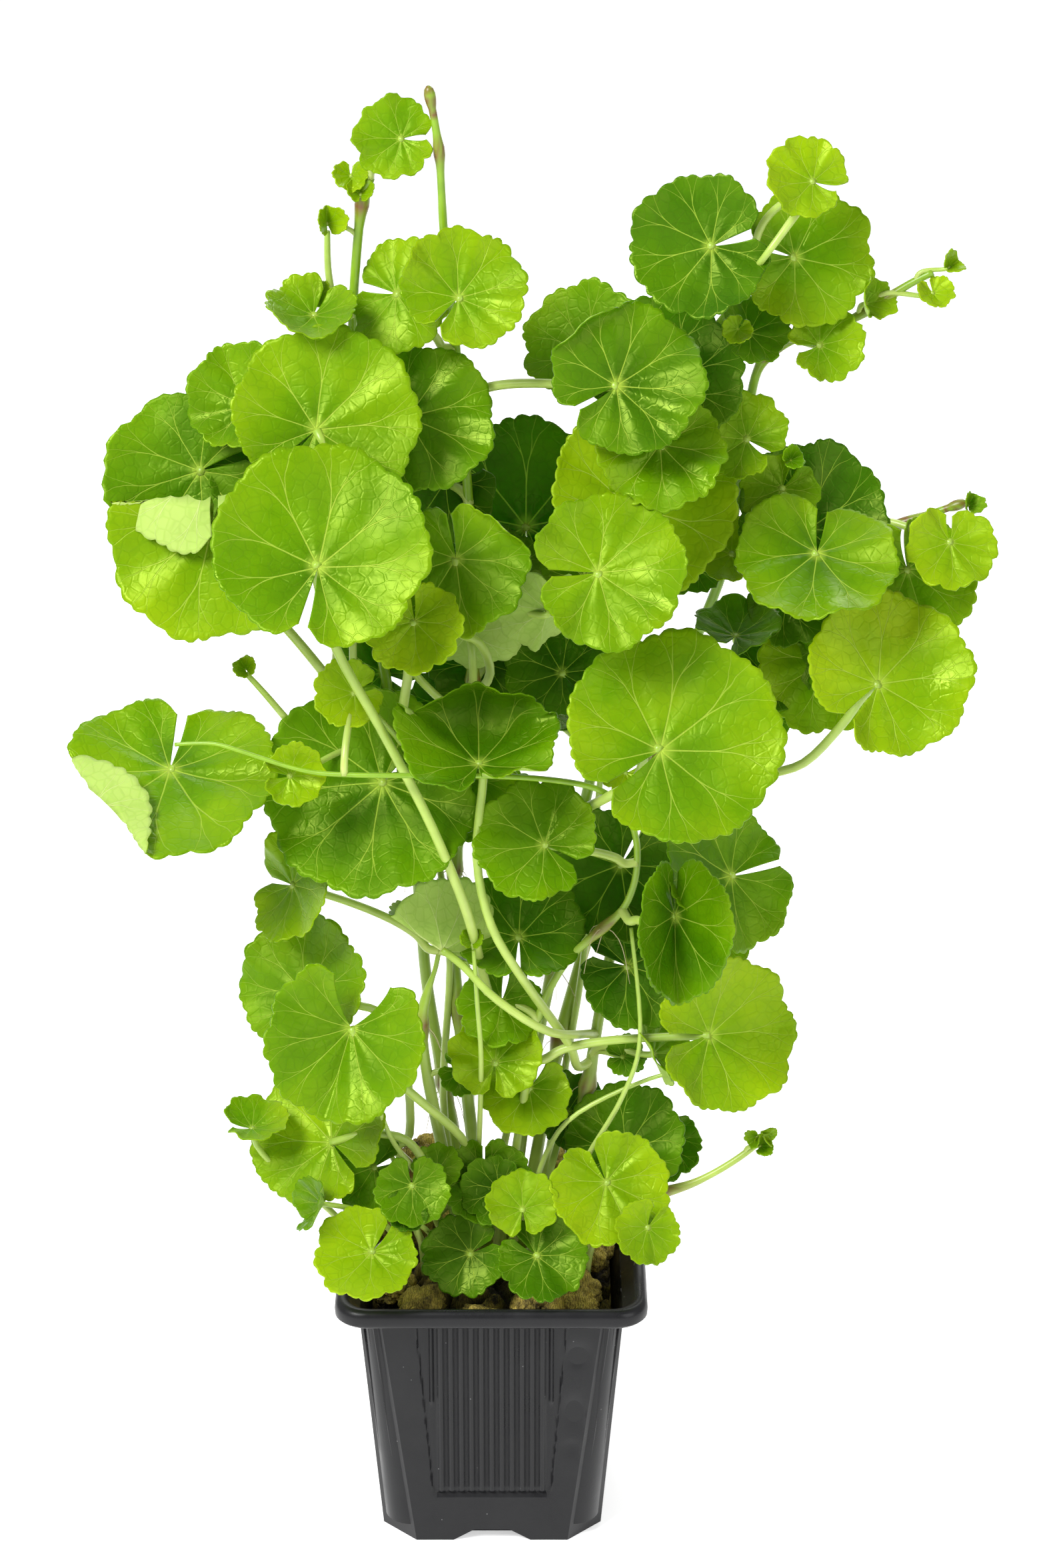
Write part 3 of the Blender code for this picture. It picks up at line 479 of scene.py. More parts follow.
def draw_tube(bm, line, radii, sides, surface, values=None):
    """Extrudes a ring along a line into a closed tube; values go to the "along" layer."""
    layer = bm.verts.layers.float.get("along") or bm.verts.layers.float.new("along")
    values = values or [i / (len(line) - 1) for i in range(len(line))]
    run = (line[1] - line[0]).normalized()
    turned = Vector((0, 0, 1)).rotation_difference(run).to_matrix().to_4x4()
    ring = bmesh.ops.create_circle(bm, segments=sides, radius=radii[0],
                                   matrix=Matrix.Translation(line[0]) @ turned)["verts"]
    for vert in ring:
        vert[layer] = values[0]
    loop = list({edge for vert in ring for edge in vert.link_edges})
    caps = [bmesh.ops.edgeloop_fill(bm, edges=loop, mat_nr=surface)["faces"]]
    for i in range(1, len(line)):
        ahead = (line[min(i + 1, len(line) - 1)] - line[i - 1]).normalized()
        move = (Matrix.Translation(line[i]) @ run.rotation_difference(ahead).to_matrix().to_4x4()
                @ Matrix.Scale(radii[i] / radii[i - 1], 4) @ Matrix.Translation(-line[i - 1]))
        made = bmesh.ops.extrude_edge_only(bm, edges=loop)["geom"]
        ring = [part for part in made if isinstance(part, bmesh.types.BMVert)]
        for face in {face for vert in ring for face in vert.link_faces}:
            face.material_index = surface
        inside = set(ring)
        loop = [part for part in made if isinstance(part, bmesh.types.BMEdge) and set(part.verts) <= inside]
        bmesh.ops.transform(bm, matrix=move, verts=ring)
        for vert in ring:
            vert[layer] = values[i]
        run = ahead
    caps.append(bmesh.ops.edgeloop_fill(bm, edges=loop, mat_nr=surface)["faces"])
    whole = {face for vert in ring for face in vert.link_faces} | set(caps[0]) | set(caps[1])
    grown = True
    while grown:
        grown = {near for face in whole for edge in face.edges for near in edge.link_faces} - whole
        whole |= grown
    bmesh.ops.recalc_face_normals(bm, faces=list(whole))


def stalk_surface(name, foot, head, brown):
    """Juicy green skin from its colour at the foot to that at the head, brown at nodes."""
    made, tree, shader = new_material(name, head, 0.36)
    where = add_node(tree, "ShaderNodeTexCoord").outputs["Object"]
    along = add_node(tree, "ShaderNodeAttribute", {"attribute_name": "along"})
    streak = add_node(tree, "ShaderNodeTexNoise", Vector=where, Scale=220.0, Detail=4.0)
    skin = add_node(tree, "ShaderNodeMix", {"data_type": "RGBA"}, _6=(*foot, 1), _7=(*head, 1))
    tree.links.new(along.outputs["Fac"], skin.inputs["Factor"])
    paler = add_node(tree, "ShaderNodeMix", {"data_type": "RGBA", "blend_type": "SOFT_LIGHT"},
                     _0=0.35, _6=skin.outputs[2])
    tree.links.new(streak.outputs["Fac"], paler.inputs[7])
    worn = add_node(tree, "ShaderNodeAttribute", {"attribute_name": "collar"})
    collar = add_node(tree, "ShaderNodeMix", {"data_type": "RGBA"}, _6=paler.outputs[2], _7=(*brown, 1))
    tree.links.new(worn.outputs["Fac"], collar.inputs["Factor"])
    tree.links.new(collar.outputs[2], shader.inputs["Base Color"])
    relief = add_node(tree, "ShaderNodeBump", Strength=0.25, Distance=0.0003, Height=streak.outputs["Fac"])
    tree.links.new(relief.outputs["Normal"], shader.inputs["Normal"])
    shader.inputs["Subsurface Weight"].default_value = 0.15
    shader.inputs["Subsurface Radius"].default_value = (0.4, 0.9, 0.1)
    shader.inputs["Subsurface Scale"].default_value = 0.002
    return made


stem_skin = stalk_surface("stem_skin", (0.34, 0.44, 0.075), (0.19, 0.34, 0.008), (0.15, 0.065, 0.016))
root_hair, tree, shader = new_material("root_hair", (0.46, 0.40, 0.22), 0.6)

# Which nodes of each stem carry a collar, by their height in millimetres, and whether
# the stem ends in a folded green bud or in a dry brown tip.
COLLARS = {
    "stem_left": ((130, 205, 285, 393), "bud"), "stem_centre": ((158, 200, 256, 330, 409), "tip"),
    "stem_right": ((165, 242, 314, 372), "bud"), "stem_right_outer": ((140, 230, 320, 352, 366), "bud"),
    "stem_right_low": ((132, 202, 284, 303), "tip"), "stem_runner": ((190,), "bud"),
    "stem_left_low": ((157,), "bud"), "stem_side_left": ((108,), "bud"), "stem_side_right": ((104,), "bud")}
stem_lines = []
for name, (collars, ending) in COLLARS.items():
    points = solid_points(name)
    rings = ring_centres(points, STEM_RING, (0, 0, 0))
    centres = smooth_line([middle for middle, radius in rings], 4)
    stem_lines.append(centres)
    radii = spread([radius for middle, radius in rings], 4)
    plain = [min(radii[max(0, i - 9):i + 10]) for i in range(len(radii))]
    level = [0.0] * len(centres)
    for i, centre in enumerate(centres):
        for collar in collars:
            away = abs(centre.z - collar * MM) / COLLAR_LENGTH
            level[i] = max(level[i], math.exp(-away * away))
    slim = RUNNER_SLIM if name == "stem_runner" else STEM_SLIM
    radii = [thin * slim * (1 + COLLAR_SWELL * amount) for thin, amount in zip(plain, level)]
    if ending == "tip":
        for back, swell in enumerate(TIP_SWELLS):
            radii[-1 - back] *= swell
    values = [min(1.0, max(0.0, (centre.z - GREEN_FROM) / GREEN_OVER)) for centre in centres]
    bm = bmesh.new()
    bm.verts.layers.float.new("along")
    collar_layer = bm.verts.layers.float.new("collar")
    draw_tube(bm, centres, radii, sides=12, surface=0, values=values)
    for vert in bm.verts:
        nearest = min(range(len(centres)), key=lambda i: (centres[i] - vert.co).length_squared)
        torn = 0.6 + 0.8 * noise.noise(vert.co * 700)
        end = 1.0 if ending == "tip" and nearest > len(centres) - 8 else 0.0
        vert[collar_layer] = min(1.0, max(level[nearest] * 1.3 * torn, end * torn))
    for i, amount in enumerate(level):
        if amount > 0.9 and centres[i].z < ROOTS_BELOW and chance.random() < ROOT_CHANCE:
            for strand in range(ROOTS):
                away = Vector((chance.uniform(-1, 1), chance.uniform(-1, 0.6), chance.uniform(-1.2, 0.2)))
                away *= ROOT_REACH
                hang = Vector((0, 0, -ROOT_HANG)) * chance.random()
                route = interpolate_bezier(centres[i], centres[i] + away, centres[i] + away + hang,
                                           centres[i] + away * 1.3 + hang * 2.2, 7)
                draw_tube(bm, route, [0.00016 - 0.000015 * k for k in range(7)], sides=4, surface=1)
    stem = add_object(name.replace("stem_", "stalk_"), bm, stem_skin, root_hair)
    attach(stem, "root")
    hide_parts(name)

# ---------------------------------------------------------------- leaves
# Round, kidney-shaped blades on long thin leafstalks that join them at the bottom of a
# notch. Forking veins run from there to a scalloped edge; the upper side is waxy, the
# underside dull and paler. A blade is a disc of spun rings, bent, and given a wall.
VEINS = 9                # main veins to a blade
BLADE_WALL = 0.00035
BLADE_RINGS = (0, 0.12, 0.25, 0.38, 0.5, 0.61, 0.7, 0.78, 0.85, 0.91, 0.96, 1)
UNDERSIDE, STALK = 1, 2  # places of those materials on a leaf
STALK_RADIUS, STALK_GAIN = 0.00085, 0.0000075    # and what each millimetre of blade adds
STALK_RING = 0.0019      # corners of a leafstalk's ring are nearer than this
NOTCH_CLOSING = 0.55     # how far open the notches are, over the solids'
WIDE_NOTCH = 44          # and from what angle they stay as open


def build_vein_group():
    """Paler lines that fork twice, from the blade's own map: u counts veins, v the way out."""
    group = bpy.data.node_groups.new("forking_veins", "ShaderNodeTree")
    group.interface.new_socket("Map", in_out="INPUT", socket_type="NodeSocketVector")
    group.interface.new_socket("Place", in_out="INPUT", socket_type="NodeSocketVector")
    group.interface.new_socket("Width", in_out="INPUT", socket_type="NodeSocketFloat")
    for out in ("Veins", "Net", "Hub"):
        group.interface.new_socket(out, in_out="OUTPUT", socket_type="NodeSocketFloat")
    given = group.nodes.new("NodeGroupInput").outputs
    result = group.nodes.new("NodeGroupOutput").inputs

    def maths(operation, *values):
        made = add_node(group, "ShaderNodeMath", {"operation": operation},
                        **{f"_{i}": value for i, value in enumerate(values)})
        return made.outputs[0]

    def between(value, low, high, start, end, smooth=True):
        kind = {"interpolation_type": "SMOOTHSTEP" if smooth else "LINEAR"}
        return add_node(group, "ShaderNodeMapRange", kind, _0=value, _1=low, _2=high,
                        _3=start, _4=end).outputs[0]

    parts = add_node(group, "ShaderNodeSeparateXYZ", _0=given["Map"]).outputs
    warp = add_node(group, "ShaderNodeTexNoise", Vector=given["Place"], Scale=75.0, Detail=2.0)
    swing = maths("MULTIPLY", maths("SUBTRACT", warp.outputs["Fac"], 0.5), 0.30)
    across = maths("ADD", parts[0], maths("MULTIPLY", swing, parts[1]))
    out = parts[1]
    offset = maths("ABSOLUTE", maths("SUBTRACT", across, maths("ROUND", across)))
    first = maths("ABSOLUTE", maths("SUBTRACT", offset, between(out, 0.38, 1.15, 0.0, 0.30)))
    second = maths("ABSOLUTE", maths("SUBTRACT", first, between(out, 0.62, 1.20, 0.0, 0.17)))
    away = maths("MULTIPLY", second, maths("MULTIPLY", out, 0.66))
    width = maths("MULTIPLY", given["Width"], between(out, 0.0, 1.0, 1.0, 0.35, False))
    line = between(away, maths("MULTIPLY", width, 0.3), width, 1.0, 0.0)
    fade = between(out, 0.55, 1.0, 1.0, 0.45)
    group.links.new(maths("MULTIPLY", line, fade), result["Veins"])
    cells = add_node(group, "ShaderNodeTexVoronoi", {"feature": "DISTANCE_TO_EDGE"},
                     Vector=given["Place"], Scale=330.0)
    group.links.new(between(cells.outputs["Distance"], 0.02, 0.12, 1.0, 0.0), result["Net"])
    group.links.new(between(out, 0.02, 0.16, 1.0, 0.0), result["Hub"])
    return group


vein_group = build_vein_group()


def blade_surface(name, stops, vein_colour, vein_share, roughness, bump, gloss):
    """A blade's side: colour by the leaf's age and its painted shade, veins, fine net and soft relief."""
    made, tree, shader = new_material(name, stops[1][1], roughness)
    where = add_node(tree, "ShaderNodeTexCoord").outputs["Object"]
    mapped = add_node(tree, "ShaderNodeUVMap", {"uv_map": "veins"}).outputs["UV"]
    veins = add_node(tree, "ShaderNodeGroup", {"node_tree": vein_group},
                     Map=mapped, Place=where, Width=0.0125).outputs
    # The leaf's value picks its green from the ramp: dark for older leaves and, as painted shade, for leaves
    # lying in shade behind others; light for young leaves.
    age_and_shade = add_node(tree, "ShaderNodeAttribute", {"attribute_name": "age_and_shade"})
    cloud = add_node(tree, "ShaderNodeTexNoise", Vector=where, Scale=38.0, Detail=3.0)
    sway = add_node(tree, "ShaderNodeMapRange", Value=cloud.outputs["Fac"],
                    _1=0.3, _2=0.7, _3=-0.17, _4=0.17)
    # The blade's green is darker towards the hub and lighter towards its edge.
    outward = add_node(tree, "ShaderNodeSeparateXYZ", _0=mapped)
    hub_to_edge_tone = add_node(tree, "ShaderNodeMapRange", Value=outward.outputs["Y"],
                    _1=0.15, _2=0.95, _3=-0.10, _4=0.09)
    cast = add_node(tree, "ShaderNodeMath", {"operation": "ADD"},
                    _0=hub_to_edge_tone.outputs["Result"], _1=sway.outputs["Result"])
    total = add_node(tree, "ShaderNodeMath", {"operation": "ADD"},
                     _0=age_and_shade.outputs["Fac"], _1=cast.outputs[0])
    ramp = add_node(tree, "ShaderNodeValToRGB", Fac=total.outputs[0])
    for index, (place, colour) in enumerate(stops):
        stop = ramp.color_ramp.elements[index] if index < 2 else ramp.color_ramp.elements.new(place)
        stop.position = place
        stop.color = (*colour, 1)
    netted = add_node(tree, "ShaderNodeMix", {"data_type": "RGBA", "blend_type": "MULTIPLY"},
                      _6=ramp.outputs["Color"], _7=(0.80, 0.86, 0.70, 1))
    thin = add_node(tree, "ShaderNodeMath", {"operation": "MULTIPLY"}, _0=veins["Net"], _1=0.45)
    tree.links.new(thin.outputs[0], netted.inputs["Factor"])
    lined = add_node(tree, "ShaderNodeMix", {"data_type": "RGBA"},
                     _6=netted.outputs[2], _7=(*vein_colour, 1))
    share = add_node(tree, "ShaderNodeMath", {"operation": "MULTIPLY"}, _0=veins["Veins"], _1=vein_share)
    tree.links.new(share.outputs[0], lined.inputs["Factor"])
    hub = add_node(tree, "ShaderNodeMix", {"data_type": "RGBA"}, _6=lined.outputs[2], _7=(*vein_colour, 1))
    spot = add_node(tree, "ShaderNodeMath", {"operation": "MULTIPLY"}, _0=veins["Hub"], _1=0.75)
    tree.links.new(spot.outputs[0], hub.inputs["Factor"])
    tree.links.new(hub.outputs[2], shader.inputs["Base Color"])
    patch = add_node(tree, "ShaderNodeTexNoise", Vector=where, Scale=60.0, Detail=3.0)
    wax = add_node(tree, "ShaderNodeMapRange", Value=patch.outputs["Fac"], _1=0.3, _2=0.7,
                   _3=roughness - 0.12, _4=roughness + 0.20)
    tree.links.new(wax.outputs["Result"], shader.inputs["Roughness"])
    soft = add_node(tree, "ShaderNodeTexNoise", Vector=where, Scale=170.0, Detail=3.0)
    height = add_node(tree, "ShaderNodeMath", {"operation": "MULTIPLY_ADD"},
                      _0=veins["Veins"], _1=bump, _2=soft.outputs["Fac"])
    fine = add_node(tree, "ShaderNodeMath", {"operation": "MULTIPLY_ADD"},
                    _0=veins["Net"], _1=bump * 0.14, _2=height.outputs[0])
    relief = add_node(tree, "ShaderNodeBump", Strength=0.5, Distance=0.0008, Height=fine.outputs[0])
    tree.links.new(relief.outputs["Normal"], shader.inputs["Normal"])
    shader.inputs["Specular IOR Level"].default_value = gloss
    shader.inputs["Specular Tint"].default_value = (0.78, 1.0, 0.16, 1)
    shader.inputs["Subsurface Weight"].default_value = 0.12
    shader.inputs["Subsurface Radius"].default_value = (0.4, 1.0, 0.1)
    shader.inputs["Subsurface Scale"].default_value = 0.002
    return made


blade_upper = blade_surface("blade_upper", ((0.0, (0.012, 0.055, 0.001)), (1.0, (0.24, 0.355, 0.002)),
                                            (0.5, (0.088, 0.198, 0.0005)), (0.25, (0.036, 0.110, 0.0005))),
                            (0.28, 0.39, 0.04), 0.75, 0.33, -0.7, 0.42)
blade_under = blade_surface("blade_underside", ((0.0, (0.13, 0.25, 0.04)), (1.0, (0.38, 0.50, 0.13)),
                                                (0.5, (0.28, 0.41, 0.08)), (0.25, (0.19, 0.32, 0.05))),
                            (0.50, 0.58, 0.22), 0.55, 0.55, 0.6, 0.3)
leafstalk = stalk_surface("leafstalk", (0.42, 0.52, 0.13), (0.27, 0.41, 0.04), (0.13, 0.08, 0.025))


def leaf_axes(notch, lean, turn):
    """Side, tip and face directions of a blade whose notch points to a clock angle."""
    lean, turn, notch = math.radians(lean), math.radians(turn), math.radians(notch)
    face = Vector((math.cos(lean) * math.sin(turn), -math.cos(lean) * math.cos(turn), math.sin(lean)))
    up = (Vector((0, 0, 1)) - face * face.z).normalized()
    right = up.cross(face)
    tip = -(right * math.cos(notch) + up * math.sin(notch))
    return Matrix((tip.cross(face), tip, face)).transposed()


def blade_reach(angle):
    """Hub to margin over the blade's width, at an angle from its tip."""
    return 0.36 + 0.21 * ((1 + math.cos(angle)) / 2) ** 0.6


def solid_hub(points, axes, width, opening, cup, fold):
    """Where a leaf's solid has its hub: its rim's corners say so."""
    half = math.radians(opening) / 2
    rim = []
    for k in range(11):
        angle = (math.pi - half) * (k / 5 - 1)
        reach = width * blade_reach(angle)
        x, y = reach * math.sin(angle), reach * math.cos(angle)
        z = (cup + fold * 2 * abs(x) / width) * MM
        rim.append(axes @ Vector((x, y, z)))
    rim = np.array(rim)
    guesses = points - rim[5]
    fits = [sum(np.linalg.norm(points - (guess + corner), axis=1).min() for corner in rim)
            for guess in guesses]
    best = guesses[int(np.argmin(fits))]
    pairs = []
    for corner in rim:
        away = np.linalg.norm(points - (best + corner), axis=1)
        pairs.append(points[np.argsort(away)[:2]].mean(0) - corner)
    return Vector(np.median(pairs, axis=0))


def open_leaf():
    """An empty mesh with the layers that blades and stalks write to."""
    bm = bmesh.new()
    bm.verts.layers.float.new("age_and_shade")
    bm.verts.layers.float.new("along")
    bm.loops.layers.uv.new("veins")
    return bm


def draw_blade(bm, hub, axes, width, opening, cup, fold, age_and_shade, seed, wave, rolls=(), fine=True, crease=0):
    """A scalloped, veined blade with its own wall; sizes in millimetres and degrees."""
    flat = bmesh.new()
    half = math.radians(opening) / 2
    most = math.pi - half
    steps = (168 if width > 30 else 120) if fine else 72
    spoke = [flat.verts.new((share * math.sin(-most), share * math.cos(-most), 0)) for share in BLADE_RINGS]
    chain = [flat.edges.new(pair) for pair in zip(spoke, spoke[1:])]
    bmesh.ops.spin(flat, geom=spoke + chain, axis=(0, 0, -1), cent=(0, 0, 0), angle=2 * most,
                   steps=steps, use_merge=False, use_normal_flip=False, use_duplicate=False)
    bmesh.ops.remove_doubles(flat, verts=flat.verts, dist=0.00001)
    chart = flat.loops.layers.uv.new("veins")
    for face in flat.faces:
        middle = face.calc_center_median()
        around = math.atan2(middle.x, middle.y)
        for corner in face.loops:
            at = corner.vert.co
            own = math.atan2(at.x, at.y) if at.length > 0.01 else around
            if abs(own - around) > math.pi:
                own -= math.copysign(2 * math.pi, own)
            corner[chart].uv = (own / most * VEINS / 2, at.length)
    # The disc gets the kidney's outline, with lobes at the main veins and fine teeth, and
    # then its height: cup, fold and crease, a ruffled edge, and skin quilted between veins.
    teeth = 40 if width > 40 else 30 if width > 26 else 22
    bite = 0.042 if width > 40 else 0.060 if width > 26 else 0.085
    for vert in flat.verts:
        share = vert.co.length
        angle = math.atan2(vert.co.x, vert.co.y)
        veins = angle / most * VEINS / 2
        edge = share ** 7
        lobe = 0.012 * math.cos(2 * math.pi * veins) - 0.020 * abs(math.sin(math.pi * veins)) ** 8
        lobe *= 2.8 - min(2.0, width / 26)
        near = noise.noise(Vector((angle * 2.3, seed * 7.1, 0.5)))
        tooth = abs(math.cos(angle * teeth / 2 + 2.2 * near)) ** 0.6 - 0.6
        near_notch = step_up(abs(angle), most - 0.30, most)
        out = 1 + edge * (lobe + bite * tooth * (1 - near_notch)) + share * 0.05 * near
        out *= 1 - 0.16 * near_notch ** 2 * share
        reach = width * MM * blade_reach(angle) * share * out
        closing = angle * (1 + 0.35 * half / most * share)
        x, y = reach * math.sin(closing), reach * math.cos(closing)
        ruffle = (0.040 * math.sin(2 * angle + seed * 1.7) + 0.034 * math.sin(3 * angle + seed * 2.4)
                  + 0.020 * math.sin(5 * angle + seed * 4.1) + 0.014 * math.sin(9 * angle + seed))
        ruffle *= share ** 2.2 * wave
        quilt = -0.015 * math.cos(2 * math.pi * veins) * share * (1.15 - share)
        rumple = 0.026 * noise.noise(Vector((x * 95, y * 95, seed * 3.3))) * share * wave
        z = (cup * share ** 2 + fold * 2 * abs(x) / (width * MM)) * MM
        z += abs(x) * math.sin(math.radians(crease))
        x *= math.cos(math.radians(crease))
        vert.co = Vector((x, y, z + (ruffle + quilt + rumple) * width * MM))
    # What lies past a roll's line is wound round a cylinder, and goes on straight from it.
    for toward, start, radius, most_turn in rolls:
        way = Vector((math.cos(math.radians(toward)), math.sin(math.radians(toward)), 0))
        line = [vert.co.z for vert in flat.verts if abs(vert.co.dot(way) - start * MM) < 0.0012]
        level = sum(line) / len(line)
        for vert in flat.verts:
            past = vert.co.dot(way) - start * MM
            if past > 0:
                angle = min(past / (radius * MM), math.radians(most_turn))
                rest = past - radius * MM * angle
                across = radius * MM * math.sin(angle) + rest * math.cos(angle)
                height = radius * MM * (1 - math.cos(angle)) + rest * math.sin(angle)
                lift = Vector((0, 0, math.cos(angle))) - way * math.sin(angle)
                flatness = vert.co.z - level
                vert.co += way * (across - past) + Vector((0, 0, height - flatness)) + lift * flatness
    bmesh.ops.recalc_face_normals(flat, faces=flat.faces)
    if sum(face.normal.z for face in flat.faces) < 0:
        bmesh.ops.reverse_faces(flat, faces=flat.faces)
    flat.normal_update()
    # The underside is the upper skin again, one wall's thickness behind it.
    upper = list(flat.faces)
    facing = upper[0].normal.copy()
    wall = bmesh.ops.extrude_face_region(flat, geom=upper)["geom"]
    for part in wall:
        if isinstance(part, bmesh.types.BMFace):
            part.material_index = UNDERSIDE
        if isinstance(part, bmesh.types.BMVert):
            part.co -= part.normal * BLADE_WALL
    bmesh.ops.recalc_face_normals(flat, faces=flat.faces)
    if upper[0].normal.dot(facing) < 0:
        bmesh.ops.reverse_faces(flat, faces=flat.faces)
    bmesh.ops.transform(flat, matrix=Matrix.Translation(hub) @ axes.to_4x4(), verts=flat.verts)
    # Each point of the blade carries the leaf's value for its age and its painted shade.
    tint = flat.verts.layers.float.new("age_and_shade")
    for vert in flat.verts:
        vert[tint] = age_and_shade
    scratch = bpy.data.meshes.new("blade")
    flat.to_mesh(scratch)
    flat.free()
    bm.from_mesh(scratch)
    bpy.data.meshes.remove(scratch)


# Each leaf's solid, then its width, notch clock angle and opening, how far it leans up and
# turns to the right, its cup and its fold, as the solid was drawn; then its green, by its age
# and by painted shade (low for older leaves and for those in shade behind others), how wavy,
# and its rolled edges: direction from the side, where the roll starts, its radius and how far
# round it goes, in millimetres and degrees.
LEAVES = {
    "leaf_back_left": (52, 270, 22, 25, 0, 3, 0, 0.08, 1.2, ()),
    "leaf_back_centre": (34, 250, 22, 45, 10, 3, 0, 0.12, 1.4, ()),
    "leaf_left_wing": (58, 310, 16, 30, -16, 4, 0, 0.62, 0.8, ()),
    "leaf_left_shoulder": (30, 300, 26, 30, -12, 3, 0, 0.42, 1.0, ()),
    "leaf_left_inner": (41, 150, 24, 34, 12, 4, 0, 0.36, 1.3, ()),
    "leaf_left_broad": (50, 225, 18, 30, 0, 3, 0, 0.56, 0.45, ()),
    "leaf_left_front": (57, 258, 24, 32, 0, 4, 0, 0.52, 0.45, ()),
    "leaf_crown_left": (24, 60, 26, 66, 6, 3, 4, 0.55, 1.4, ()),
    "leaf_crown_back": (31, 180, 40, 26, -32, 2, 0, 0.60, 1.2, ()),
    "leaf_crown_front": (33, 232, 30, 30, 4, 3, 0, 0.62, 1.2, ()),
    "leaf_centre_pale": (30, 0, 26, 20, 190, 3, 0, 0.60, 1.0, ()),
    "leaf_centre_rolled": (38, 100, 20, 30, -6, 3, 0, 0.48, 0.8, ((210, 11, 4, 150),)),
    "leaf_centre_fresh": (26, 95, 24, 30, -4, 3, 3, 0.78, 0.8, ()),
    "leaf_right_back": (34, 270, 24, 28, -25, 3, 0, 0.46, 0.8, ()),
    "leaf_right_shade": (42, 240, 24, 28, 8, 3, 0, 0.22, 0.8, ()),
    "leaf_right_pale": (52, 200, 22, 32, 6, 4, 0, 0.72, 1.0, ()),
    "leaf_right_under": (34, 90, 22, 36, 4, 3, 0, 0.50, 1.0, ()),
    "leaf_right_broad": (42, 213, 26, 30, 0, 3, 0, 0.32, 1.0, ((177, 15, 4, 110),)),
    "leaf_right_gloss": (42, 186, 22, 32, -6, 4, 0, 0.52, 1.6, ()),
    "leaf_top_right_back": (37, 165, 24, 24, 6, 3, 0, 0.60, 1.0, ((320, 15, 2.5, 160),)),
    "leaf_top_right": (38, 15, 36, 28, -4, 4, 0, 0.24, 0.9, ()),
    "leaf_outer_shade": (42, 250, 22, 26, 8, 3, 0, 0.14, 0.9, ()),
    "leaf_outer_far": (36, 100, 22, 28, 14, 3, 0, 0.64, 1.0, ()),
    "leaf_outer_open": (43, 82, 34, 56, 0, 3, 0, 0.52, 0.9, ()),
    "leaf_side_back": (36, 70, 22, 30, 4, 3, 0, 0.66, 1.0, ()),
    "leaf_side_large": (46, 222, 30, 32, 10, 4, 0, 0.78, 1.1, ()),
    "leaf_front_large": (58, 217, 22, 34, 2, 4, 0, 0.56, 0.7, ()),
    "leaf_middle_shade": (60, 45, 24, 34, -6, 4, 0, 0.36, 0.9, ()),
    "leaf_far_left": (60, 88, 26, 64, -8, 4, 0, 0.56, 0.6, ((44, 21, 1.2, 165),)),
    "leaf_middle_hanging": (34, 90, 24, 28, 4, 3, 0, 0.44, 0.8, ()),
    "leaf_middle_rolled": (44, 270, 28, 70, 0, 5, 6, 0.34, 1.2, ((90, 9, 5, 110),)),
    "leaf_middle_light": (34, 330, 24, 30, 0, 3, 0, 0.44, 1.3, ()),
    "leaf_middle_dark": (40, 60, 24, 32, 0, 3, 0, 0.14, 1.0, ()),
    "leaf_inner_low": (36, 265, 22, 46, 4, 3, 0, 0.28, 1.0, ()),
    "leaf_inner_dark": (35, 160, 24, 30, 6, 3, 0, 0.10, 1.0, ()),
    "leaf_inner_pale": (34, 180, 26, 20, 176, 3, 0, 0.55, 1.2, ()),
    "leaf_right_folded": (41, 95, 20, 30, 4, 3, 14, 0.38, 0.7, ()),
    "leaf_right_wing": (43, 356, 26, 30, 40, 4, 0, 0.40, 1.0, ()),
    "leaf_right_low": (43, 186, 24, 34, 36, 4, 0, 0.74, 0.9, ()),
    "leaf_left_narrow": (32, 190, 26, 26, -52, 3, 0, 0.62, 1.2, ()),
    "leaf_left_low_back": (40, 290, 24, 30, -30, 3, 0, 0.50, 0.9, ()),
    "leaf_left_low_front": (46, 95, 22, 44, -4, 3, 8, 0.48, 1.0, ()),
    "leaf_low_left": (44, 335, 24, 34, -36, 3, 0, 0.70, 0.9, ()),
    "leaf_low_centre": (26, 90, 22, 36, 4, 3, 0, 0.24, 1.0, ()),
    "leaf_low_front_centre": (24, 28, 24, 36, -8, 3, 0, 0.16, 1.2, ()),
    "leaf_low_front_left": (29, 55, 26, 50, -6, 4, 0, 0.72, 0.9, ()),
    "leaf_low_front_right": (26, 140, 26, 44, 4, 3, 0, 0.22, 1.2, ()),
    "leaf_low_right": (34, 112, 22, 40, 4, 3, 0, 0.76, 1.0, ()),
    "leaf_low_right_shade": (34, 272, 22, 36, 4, 3, 0, 0.26, 0.8, ()),
}


EYE_X, EYE_AWAY, EYE_HEIGHT = 9, 1049, 664       # the viewer's eye, in millimetres


def at_depth(x, z, y):
    """A point, y behind the pot's middle plane, that the viewer sees at x and z of that plane."""
    return Vector((x + y * (x - EYE_X) / EYE_AWAY, y, z - y * (EYE_HEIGHT - z) / EYE_AWAY)) * MM


